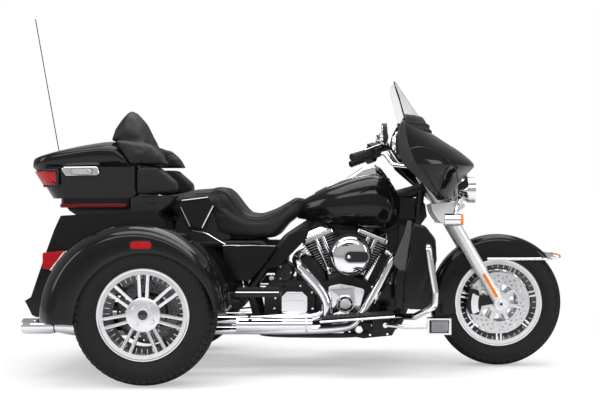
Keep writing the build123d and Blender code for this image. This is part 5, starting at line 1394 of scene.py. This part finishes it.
lines = [[(0.585, 1.066), (0.620, 1.083), (0.660, 1.084), (0.700, 1.074), (0.745, 1.050), (0.785, 1.022),
          (0.818, 0.990), (0.838, 0.955), (0.848, 0.925)],
         [(0.596, 1.010), (0.640, 1.000), (0.668, 0.980), (0.690, 0.940), (0.722, 0.890), (0.756, 0.846)]]
pressed = []
for line in lines:
    for side in (-1, 1):
        fine_line = softened([(x, 0.0, z) for x, z in line], 2)
        pressed.append(tube([on_side(x, z, side) for x, _, z in fine_line], 0.0035, 8))
new_piece("fairing_lines", joined(pressed), bodies_of["fairing"], black_paint, 80)
vent_rows = [
    # z, nose x, rear edge x, half width
    (1.172, 0.722, 0.556, 0.334), (1.198, 0.709, 0.568, 0.308),
    (1.226, 0.692, 0.572, 0.296), (1.246, 0.679, 0.568, 0.290),
]
vent = skin([level_arc(*row, 0.0, 1.0, 40, 0.006) for row in vent_rows], closed=False)
vent_piece = new_piece("vent_trim", vent, bodies_of["windshield"], grey_plastic, 60)
thicken(vent_piece, 0.007, -0.2)
print("pressed lines", len(pressed))

# %% [markdown]
# ## Lamp bracket, controls and calipers
# A bright casting below the fairing carries the lamps. On the bar, black housings hold the switches, and the
# brake reservoirs end in bright caps. The calipers have a bright insert that follows the disc.

# %% Lamp bracket and fender lamp
bracket_meshes = []
for side in (-1, 1):
    outline = [(0.716, 0.812), (0.770, 0.826), (0.884, 0.822), (0.886, 0.798), (0.834, 0.768), (0.800, 0.708),
               (0.758, 0.722), (0.724, 0.772)]
    bracket_meshes.append(plate(soft_outline(outline), *across(side, 0.126, 0.150)))
bracket_meshes.append(plate([(0.760, 0.806), (0.862, 0.812), (0.862, 0.796), (0.770, 0.786)], -0.128, 0.128))
lamp_bracket = new_piece("lamp_bracket", joined(bracket_meshes), bodies_of["lamp_shells"],
                         fork_alloy)
round_edges(lamp_bracket, 0.011, 5)
lens_rows = [
    (FRONT + 0.276, hem_z + 0.016, hem_z + 0.034, 0.024, 0.008),
    (FRONT + 0.300, hem_z + 0.012, hem_z + 0.029, 0.022, 0.008),
    (FRONT + 0.3205, hem_z + 0.008, hem_z + 0.020, 0.016, 0.005),
]
tip_lens = skin([upright_ring(*row) for row in smooth_rows(lens_rows, 3)], caps=True)
new_piece("fender_tip_lens", tip_lens, bodies_of["front_fender"], amber_lens)
print("bracket plates", len(bracket_meshes), "and a lens")

# %% Switch housings and caps
controls = []
for side in (-1, 1):
    foot, end = Vector((CRANK + 0.118, side * 0.355, 1.062)), Vector((CRANK + 0.029, side * 0.436, 1.032))
    way = (end - foot).normalized()
    turn = Vector((0, 0, 1)).rotation_difference(way).to_matrix().to_4x4()
    for along, wide, tall, long, lift in [(-0.024, 0.056, 0.060, 0.052, 0.002),
                                          (-0.078, 0.050, 0.046, 0.044, 0.012)]:
        box = skin([upright_ring(x, -tall / 2, tall / 2, wide / 2, 0.014)
                    for x in (-long / 2, -long / 2 + 0.004, long / 2 - 0.004, long / 2)], caps=True)
        box.transform(Matrix.Rotation(radians(-90), 4, "Y"))
        box.transform(Matrix.Translation(foot + way * along + Vector((0, 0, lift))) @ turn)
        box.materials.append(engine_black)
        controls.append(box)
    for k in range(3):
        button = block(0.012, 0.010, 0.006, 0.8)
        button.transform(Matrix.Translation(foot - way * (0.010 + 0.015 * k) + Vector((-0.018, 0, 0.030))))
        button.materials.append(grey_plastic)
        controls.append(button)
    cap_at = foot - way * 0.082 + Vector((0.006, 0, 0.0))
    cap = painted(lathe([(0.0225, 0.046), (0.0235, 0.050), (0.0235, 0.060), (0.0205, 0.070), (0.012, 0.0765),
                         (0.0, 0.078)], cap_at, 32, "Z"), chrome)
    controls.append(cap)
    band = lathe([(0.0165, -0.004), (0.0184, -0.003), (0.0184, 0.003), (0.0165, 0.004)], (0, 0, 0), 28, "Z")
    band.transform(turn)
    controls.append(row_of(band, 5, (end - foot) * 0.22, black_rubber, foot + (end - foot) * 0.08))
new_piece("bar_controls", joined(controls), bodies_of["handlebar"], None)
glasses = []
for side in (-1, 1):
    glass = skin([upright_ring(x, -0.036, 0.036, 0.064, 0.032) for x in (-0.0014, 0.0020)], caps=True)
    glass.transform(Matrix.Translation((CRANK + 0.172, side * 0.415, 1.148)) @ Matrix.Rotation(-0.06, 4, "Y"))
    glasses.append(glass)
new_piece("mirror_glasses", joined(glasses), bodies_of["mirrors"], mirror_glass)
print("controls", len(controls))

# %% Caliper inserts
caliper_low, caliper_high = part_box("calipers")
inserts = []
for side in (-1, 1):
    face_at = caliper_low[1] if side < 0 else caliper_high[1]
    sector = [(FRONT + r * cos(radians(t)), front_hub.z + r * sin(radians(t)))
              for r, turns in [(0.146, range(160, 203, 6)), (0.108, range(202, 159, -6))] for t in turns]
    insert = painted(plate(sector, *sorted((face_at + side * 0.0035, face_at - side * 0.006))), chrome)
    inserts.append(insert)
insert_piece = new_piece("caliper_inserts", joined(inserts), bodies_of["calipers"], None)
round_edges(insert_piece, 0.003, 3)
print("caliper inserts", len(inserts))

# %% Axle nuts
axle_nuts = []
for side in (-1, 1):
    hits = []
    for node in ("front_axle", "fork_legs"):
        outside = Vector((FRONT, side * 2.0, front_hub.z))
        hit = surface_of(nodes[node].data).ray_cast(outside, Vector((0, -side, 0)))[0]
        hits.append(side * hit.y if hit else 0.0)
    face_at = Vector((FRONT, side * max(hits), front_hub.z))
    nut = painted(lathe([(0.0070, side * 0.0005), (0.0070, side * 0.006), (0.0150, side * 0.006),
                         (0.0170, side * 0.004), (0.0170, side * -0.003)], face_at, 32), chrome)
    # A black disc in the nut's hole: painted shade in the hollow.
    bore_shade = painted(lathe([(0.0, side * 0.0012), (0.0072, side * 0.0012)], face_at, 32), engine_black)
    axle_nuts += [nut, bore_shade]
new_piece("front_axle_nuts", joined(axle_nuts), bodies_of["front_axle"], None)
print("axle nuts stand at", [round(hit, 3) for hit in hits])

# %% [markdown]
# The rider looks at a flat dash: two large dials, four small ones and a loudspeaker at each end. Each dial is
# a turned bezel round a dark face. Its marks are one small block that the ring group repeats, and they carry
# no figures.

# %% Dash dials and loudspeakers
panel_surface = surface_of(nodes["inner_fairing"].data)
faced_back = Matrix.Rotation(pi, 4, "X")
dash_meshes = []
for y, z, radius, marks in [(0.070, 1.116, 0.044, 24), (0.165, 1.145, 0.024, 12), (0.165, 1.086, 0.024, 12),
                            (0.276, 1.106, 0.050, 0)]:
    for side in (-1, 1):
        at = panel_surface.ray_cast(Vector((0, side * y, z)), Vector((1, 0, 0)))[0]
        bezel = painted(lathe([(radius * 0.86, -0.003), (radius * 0.90, -0.009), (radius * 0.98, -0.010),
                               (radius * 1.06, -0.004), (radius * 1.06, 0.006)], at, 48, "X"),
                        chrome if marks else grey_plastic)
        dial = painted(lathe([(0.0, -0.0035), (radius * 0.88, -0.0035)], at, 48, "X"), engine_black)
        dash_meshes += [bezel, dial]
        if marks:
            mark = block(radius * 0.18, radius * 0.05, 0.0012, 0.8)
            mark.transform(Matrix.Translation((0, 0, -0.0033)) @ faced_back)
            needle = block(radius * 0.66, radius * 0.07, 0.0016, 0.5)
            needle.transform(Matrix.Translation((radius * 0.26, 0, -0.0034)) @ faced_back)
            swing = Matrix.Rotation(radians(90), 4, "Y") @ Matrix.Rotation(radians(130), 4, "Z")
            needle.transform(Matrix.Translation(at) @ swing)
            needle.materials.append(red_lens)
            dash_meshes += [ring_of(mark, marks, radius * 0.72, cast_silver, at, "X"), needle]
        else:
            for count, share in [(8, 0.24), (14, 0.44), (20, 0.64)]:
                stud = block(0.0052, 0.0052, 0.0022, 0.6)
                stud.transform(Matrix.Translation((0, 0, -0.0033)) @ faced_back)
                dash_meshes.append(ring_of(stud, count, radius * share, grey_plastic, at, "X"))
new_piece("dash_dials", joined(dash_meshes), bodies_of["inner_fairing"], None)
print("dash meshes", len(dash_meshes))

# %% [markdown]
# ## Rear dressing
# Small bright parts give the black tail its scale: the latch with its lock, the trim along the seat, the
# strip that closes each tail lamp. Dark brackets carry the top case above the trunk, and black bezels frame
# its lamps.

# %% Latch handle and lock
latch_low, latch_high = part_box("case_latch")
latch_y = latch_low[1]
latch_x = (latch_low[0] + latch_high[0]) / 2
groove = painted(plate(oval(latch_x - 0.046, latch_x + 0.060, 0.971, 0.0165, 4), latch_y - 0.0006,
                       latch_y + 0.004), engine_black)
handle = painted(plate(oval(latch_x - 0.0435, latch_x + 0.0575, 0.971, 0.0140, 4), latch_y - 0.0035,
                       latch_y + 0.004), cast_silver)
lock = painted(lathe([(0.0, -0.0065), (0.0062, -0.0065), (0.0074, -0.005), (0.0074, 0.0)],
                     (latch_x + 0.036, latch_y, 0.972), 24), chrome)
slot_mark = painted(plate(oval(latch_x + 0.0345, latch_x + 0.0375, 0.972, 0.0014, 3), latch_y - 0.0072,
                          latch_y - 0.004), engine_black)
new_piece("latch_details", joined([groove, handle, lock, slot_mark]), bodies_of["case_latch"], None)
print("latch at", round(latch_x, 3))

# %% Lamp bezels, tail strips and marker frames
bezels = []
for side in (-1, 1):
    run = ahead_of(REAR, [(-0.470, side * 0.318, 0.978), (-0.520, side * 0.3195, 0.978),
                          (-0.545, side * 0.316, 0.976)])
    foot = ahead_of(REAR, [(-0.474, side * 0.314, 0.903), (-0.515, side * 0.3135, 0.902),
                           (-0.540, side * 0.310, 0.902)])
    bezels += [tube(softened(run, 1), 0.006), tube(softened(foot, 1), 0.006),
               tube([(REAR - 0.4705, side * 0.318, 0.980), (REAR - 0.4745, side * 0.314, 0.902)], 0.007)]
    frame_line = [(x, side * (FENDER_OUT + 0.0015), z)
                  for x, z in oval(REAR - 0.0505, REAR + 0.0495, 0.6355, 0.0185, 8)]
    bezels.append(tube(frame_line + frame_line[:1], 0.0022, 6))
new_piece("lamp_bezels", joined(bezels), bodies_of["red_lenses"], grey_plastic)
strips = []
tail_y = FENDER_IN + 0.060
for side in (-1, 1):
    low, high = across(side, tail_y - 0.012, tail_y + 0.003)
    strips.append(plate(ahead_of(REAR, [(-0.366, 0.601), (-0.390, 0.599), (-0.458, 0.512), (-0.436, 0.512)]),
                        low, high))
tail_strips = new_piece("tail_lamp_strips", joined(strips), bodies_of["red_lenses"], chrome)
round_edges(tail_strips, 0.0025)
print("lamp trims", len(bezels) + len(strips))

# %% Brackets under the top case and the pods
brackets = []
for side in (-1, 1):
    low, high = across(side, 0.235, 0.262)
    rail = ahead_of(REAR,
                    [(-0.392, 0.758), (-0.105, 0.768), (-0.105, 0.801), (-0.445, 0.801), (-0.430, 0.782)])
    brackets.append(plate(rail, low, high))
    low, high = across(side, 0.196, 0.300)
    base = ahead_of(REAR, [(-0.128, 0.772), (0.006, 0.776), (0.060, 0.820), (0.088, 0.8562), (-0.090, 0.8562),
                           (-0.128, 0.840)])
    brackets.append(plate(base, low, high))
    low, high = across(side, 0.299, 0.305)
    brackets.append(plate(oval(REAR - 0.045, REAR + 0.005, 0.828, 0.010, 6), low, high))
case_brackets = new_piece("case_brackets", joined(brackets), bodies_of["trunk_body"],
                          grey_plastic)
round_edges(case_brackets, 0.004)
print("brackets", len(brackets))

# %% Bright trim along the seat and the side covers
trim_runs = []
for side in (-1, 1):
    y = side * 0.2168
    for run in [[(REAR + 0.104, 0.830), (REAR + 0.232, 0.846)],
                [(REAR + 0.098, 0.800), (REAR + 0.143, 0.706)],
                [(REAR + 0.256, 0.806), (REAR + 0.202, 0.700)]]:
        trim_runs.append(tube([(x, y, z) for x, z in run], 0.0042, 8))
    trim_runs.append(tube(softened(ahead_of(REAR, [(0.150, side * 0.1885, 0.684),
                                                   (0.215, side * 0.1885, 0.676),
                                                   (0.262, side * 0.1885, 0.646),
                                                   (0.312, side * 0.1885, 0.618)]), 2), 0.0028, 8))
    console_line = ahead_of(CRANK, [(-0.150, 0.042, 0.872), (-0.073, 0.060, 0.911), (0.036, 0.074, 0.949),
                                    (0.136, 0.082, 0.968), (0.206, 0.062, 0.950), (0.224, 0.030, 0.936)])
    trim_runs.append(tube(softened([(x, side * y, z) for x, y, z in console_line], 2), 0.0036, 8))
    cover_run = ahead_of(REAR, [(0.308, side * 0.2435, 0.6145), (0.450, side * 0.2435, 0.6145),
                                (0.562, side * 0.2435, 0.6115)])
    trim_runs.append(tube(cover_run, 0.0030, 8))
new_piece("seat_trim", joined(trim_runs), bodies_of["seat"], chrome)
print("trim runs", len(trim_runs))

# %% Muffler tips
tips = []
low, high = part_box("mufflers")
for side in (-1, 1):
    tail = Vector((low[0], side * (high[1] - 0.031), 0.2395))
    tip = painted(lathe([(0.0300, 0.010), (0.0330, -0.0015), (0.0350, 0.0), (0.0365, 0.006), (0.0365, 0.130),
                         (0.0325, 0.150)], tail, 48, "X"), chrome)
    # A black cap inside each tip's opening: painted shade, where the inside of the pipe lies in shadow.
    tip_shade = painted(lathe([(0.0302, 0.004), (0.0290, 0.030), (0.0, 0.032)], tail, 48, "X"), engine_black)
    tips += [tip, tip_shade]
new_piece("muffler_tips", joined(tips), bodies_of["mufflers"], None)
print("muffler tips", len(tips) // 2)

# %% [markdown]
# ## Boards and pedals
# A footboard is a pressed tray with a ribbed rubber mat and a bright edge. The brake pedal has a large rubber
# pad in a chromed frame. Ribs are a short row of bars, the same on both boards.

# %% Mats, edges and pedal pad
board_meshes = []
for side in (-1, 1):
    for x_low, x_high, z_low, z_high, y_in, y_out, thick in [
            (CRANK - 0.112, CRANK + 0.226, 0.2728, 0.2965, 0.264, 0.414, 0.006),
            (CRANK - 0.508, CRANK - 0.309, 0.4125, 0.4125, 0.352, 0.448, 0.010)]:
        slope = (z_high - z_low) / (x_high - x_low)
        mat = painted(plate([(x_low, z_low), (x_high, z_high), (x_high - 0.004, z_high + thick),
                             (x_low + 0.004, z_low + thick)], *across(side, y_in, y_out)), black_rubber)
        board_meshes.append(mat)
        ribs = int((x_high - x_low) / 0.022)
        gap = (x_high - x_low) / ribs
        rib = plate([(-0.004, -0.001), (0.004, -0.001), (0.0026, 0.003), (-0.0026, 0.003)],
                    *across(side, y_in + 0.008, y_out - 0.008))
        board_meshes.append(row_of(rib, ribs - 1, (gap, 0, slope * gap), black_rubber,
                                   (x_low + gap, 0, z_low + slope * gap + thick)))
    edge = ahead_of(CRANK, [(-0.119, side * 0.4205, 0.265), (0.060, side * 0.4205, 0.2775),
                            (0.231, side * 0.4205, 0.290)])
    strip = painted(tube(edge, 0.0055, 10), chrome)
    thin = painted(tube([(CRANK - 0.508, side * 0.4555, 0.4070), (CRANK - 0.309, side * 0.4555, 0.4070)],
                        0.0025, 8), chrome)
    board_meshes += [strip, thin]
new_piece("board_mats", joined(board_meshes), bodies_of["footboards"], None)
pad_meshes = []
pad_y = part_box("foot_controls")[0][1]
pad_x, pad_z = CRANK + 0.436, 0.246
recess = painted(plate([(pad_x - 0.046, pad_z - 0.030), (pad_x + 0.044, pad_z - 0.030),
                        (pad_x + 0.046, pad_z + 0.030), (pad_x - 0.046, pad_z + 0.030)], pad_y - 0.0010,
                       pad_y + 0.010), black_rubber)
pad_grey = finish("pad_grey", (0.16, 0.16, 0.17), (0.22, 0.22, 0.23), (0.45, 0.60), 12.0, grain_scale=800,
                  pebble=0.5, bump=0.2)
pad = painted(plate([(pad_x - 0.036, pad_z - 0.025), (pad_x + 0.034, pad_z - 0.025),
                     (pad_x + 0.041, pad_z - 0.014), (pad_x + 0.041, pad_z + 0.025),
                     (pad_x - 0.036, pad_z + 0.025)], pad_y - 0.0045, pad_y + 0.010), pad_grey)
pad_meshes += [recess, pad]
rib = plate([(-0.0025, -0.017), (0.0025, -0.017), (0.0025, 0.017), (-0.0025, 0.017)], -0.0066, 0.0)
pad_meshes.append(row_of(rib, 5, (0.0115, 0, 0), pad_grey, (pad_x - 0.022, pad_y, pad_z)))
new_piece("pedal_pad", joined(pad_meshes), bodies_of["foot_controls"], None)
print("mats and ribs", len(board_meshes))

# %% [markdown]
# ## Lid of the top case and moulded shells
# The lid is a moulded dome: a low flank, a soft shoulder and a crowned roof that falls towards the rear. It
# is drawn through upright sections from the rear wall to the backrest. The pods and leg shields are moulded
# in one piece, so their solids are remeshed in small cubes and smoothed, which rounds every edge alike, as a
# mould does.

# %% Top-case lid
LID_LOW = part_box("case_lid")[0][2]
for_lid = [
    # x, height at the sides, height in the middle
    (REAR - 0.6170, 1.030, 1.039), (REAR - 0.608, 1.0345, 1.045), (REAR - 0.590, 1.040, 1.056),
    (REAR - 0.545, 1.052, 1.074), (REAR - 0.455, 1.070, 1.099), (REAR - 0.365, 1.084, 1.117),
    (REAR - 0.270, 1.094, 1.129), (REAR - 0.206, 1.090, 1.119),
]
lid_stations = smooth_rows(for_lid, 4) + [[REAR - 0.1655, 1.0630, 1.0640], [REAR - 0.1250, 1.0065, 1.0070]]


def lid_ring(x, side_z, mid_z, drop=0.0):
    """One upright section of the lid, from hem to hem; drop lowers its top towards the hem."""
    back = max(0.0, REAR - 0.501 - x)
    half = 0.192 + sqrt(max(0.0, 0.120 ** 2 - back ** 2))
    round_by = min(0.026, (side_z - LID_LOW) * 0.7)
    points = [(half, LID_LOW), (half, side_z - round_by)]
    for k in range(1, 6):
        turn = radians(90 * k / 6)
        points.append((half - round_by * (1 - cos(turn)), side_z - round_by * (1 - sin(turn))))
    for k in range(1, 9):
        share = 1 - k / 8
        points.append(((half - round_by) * share, side_z + (mid_z - side_z) * (1 - share ** 2)))
    points = points + [(-y, z) for y, z in reversed(points[:-1])]
    return [(x, y, max(LID_LOW, z - drop)) for y, z in points]


rear_x, rear_side, rear_mid = lid_stations[0]
lid_rings = [lid_ring(rear_x - 0.0035, rear_side, rear_mid, 0.2),
             lid_ring(rear_x - 0.0035, rear_side, rear_mid, 0.012),
             lid_ring(rear_x - 0.0020, rear_side, rear_mid, 0.004)]
lid_rings += [lid_ring(*row) for row in lid_stations]
lid_skin = new_piece("case_lid_skin", skin(lid_rings, closed=False), bodies_of["case_lid"],
                     black_paint, 50)
thicken(lid_skin, 0.005)
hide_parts("case_lid")
ears = []
for x in (REAR - 0.440, REAR - 0.220):
    ear = [(0.330, 1.004), (0.337, 1.005), (0.310, 1.026), (0.306, 1.012)]
    ears.append(skin([[(x + step, y, z) for y, z in ear] for step in (-0.014, 0.014)], caps=True))
    ears.append(lathe([(0.0032, -0.014), (0.007, -0.014), (0.007, 0.014), (0.0032, 0.014), (0.0032, -0.014)],
                      (x, 0.332, 1.0), 20, "X"))
new_piece("case_lid_hinges", joined(ears), bodies_of["case_lid"], engine_black)
print("lid", len(lid_skin.data.polygons), "faces")


# %% Moulded copies
def moulded_copy(node, voxel, rounds, material=None):
    """A copy of one solid with all its edges softened evenly, which stands for the solid."""
    shape = bpy.data.objects.new("mould", welded_solid(node))
    scene.collection.objects.link(shape)
    even = shape.modifiers.new("even", "REMESH")
    even.mode, even.voxel_size = "VOXEL", voxel
    calm = shape.modifiers.new("calm", "SMOOTH")
    calm.factor, calm.iterations = 0.5, rounds
    mesh = baked(shape)
    bpy.data.objects.remove(shape)
    slot = slots_of[node]
    piece = new_piece(node + "_moulded", mesh, bodies_of[node], material or finish_of_slot[slot], 80)
    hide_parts(node)
    return piece


for node, voxel, rounds, tone in [("speaker_pods", 0.006, 26, seat_leather),
                                  ("lower_fairings", 0.006, 24, None)]:
    moulded = moulded_copy(node, voxel, rounds, tone)
    print(moulded.name, len(moulded.data.polygons), "faces")

# %% [markdown]
# ## Rounded copies of the remaining solids
# Cast covers, cases and brackets keep their solid shape. A narrow highlight along a rounded edge tells the
# eye how thick a thing is, so each copy is welded, its flat triangles are joined, and a bevel rounds what is
# left.

# %% Rounded copies
rounded = [
    # node, bevel width, segments
    ("rocker_covers", 0.006, 3), ("engine_covers", 0.006, 3), ("primary_case", 0.010, 3),
    ("gearbox", 0.008, 2), ("engine_case", 0.006, 2), ("side_panels", 0.006, 2),
    ("trunk_body", 0.020, 4), ("trunk_door", 0.005, 2), ("case_latch", 0.003, 2),
    ("foot_controls", 0.004, 2), ("triple_clamps", 0.003, 2), ("calipers", 0.005, 2),
    ("inner_fairing", 0.004, 2), ("levers", 0.003, 2), ("top_case", 0.010, 3),
    ("tank_console", 0.006, 3), ("lamp_shells", 0.003, 2), ("grips", 0.003, 2),
]
for node, width, segments in rounded:
    rounded_copy(node, width, segments)
rounded_copy("footboards", 0.003, 2, engine_black)
rounded_copy("mirrors", 0.008, 3, engine_black)
lenses = rounded_copy("red_lenses", 0.003, 2)
# The bar of each tail lamp takes a darker copy of the red lens: partly a darker lens, partly painted shade.
darker_and_shaded_red = finish("red_lens_darker_and_shaded", (0.16, 0.003, 0.005), (0.10, 0.001, 0.003), (0.10, 0.18), 30.0,
                  grain_scale=170, pebble=1.0, bump=0.2, Specular_IOR_Level=0.25, Coat_Weight=0.1)
lenses.data.materials.append(darker_and_shaded_red)
for polygon in lenses.data.polygons:
    polygon.material_index = 1 if 0.79 < polygon.center.z < 0.84 else 0
print("rounded copies", len(rounded) + 3)

# %% [markdown]
# ## What stays as drawn
# Tubes, rods and shafts are already round, so their solids stay and only get their finish. The fork legs are
# polished alloy rather than plated, so they take a softer finish of their own.

# %% Finishes on the solids that stay
for node, solid in nodes.items():
    solid.data.materials.clear()
    solid.data.materials.append(fork_alloy if node == "fork_legs" else finish_of_slot[slots_of[node]])
print("solids with a finish", len(nodes))
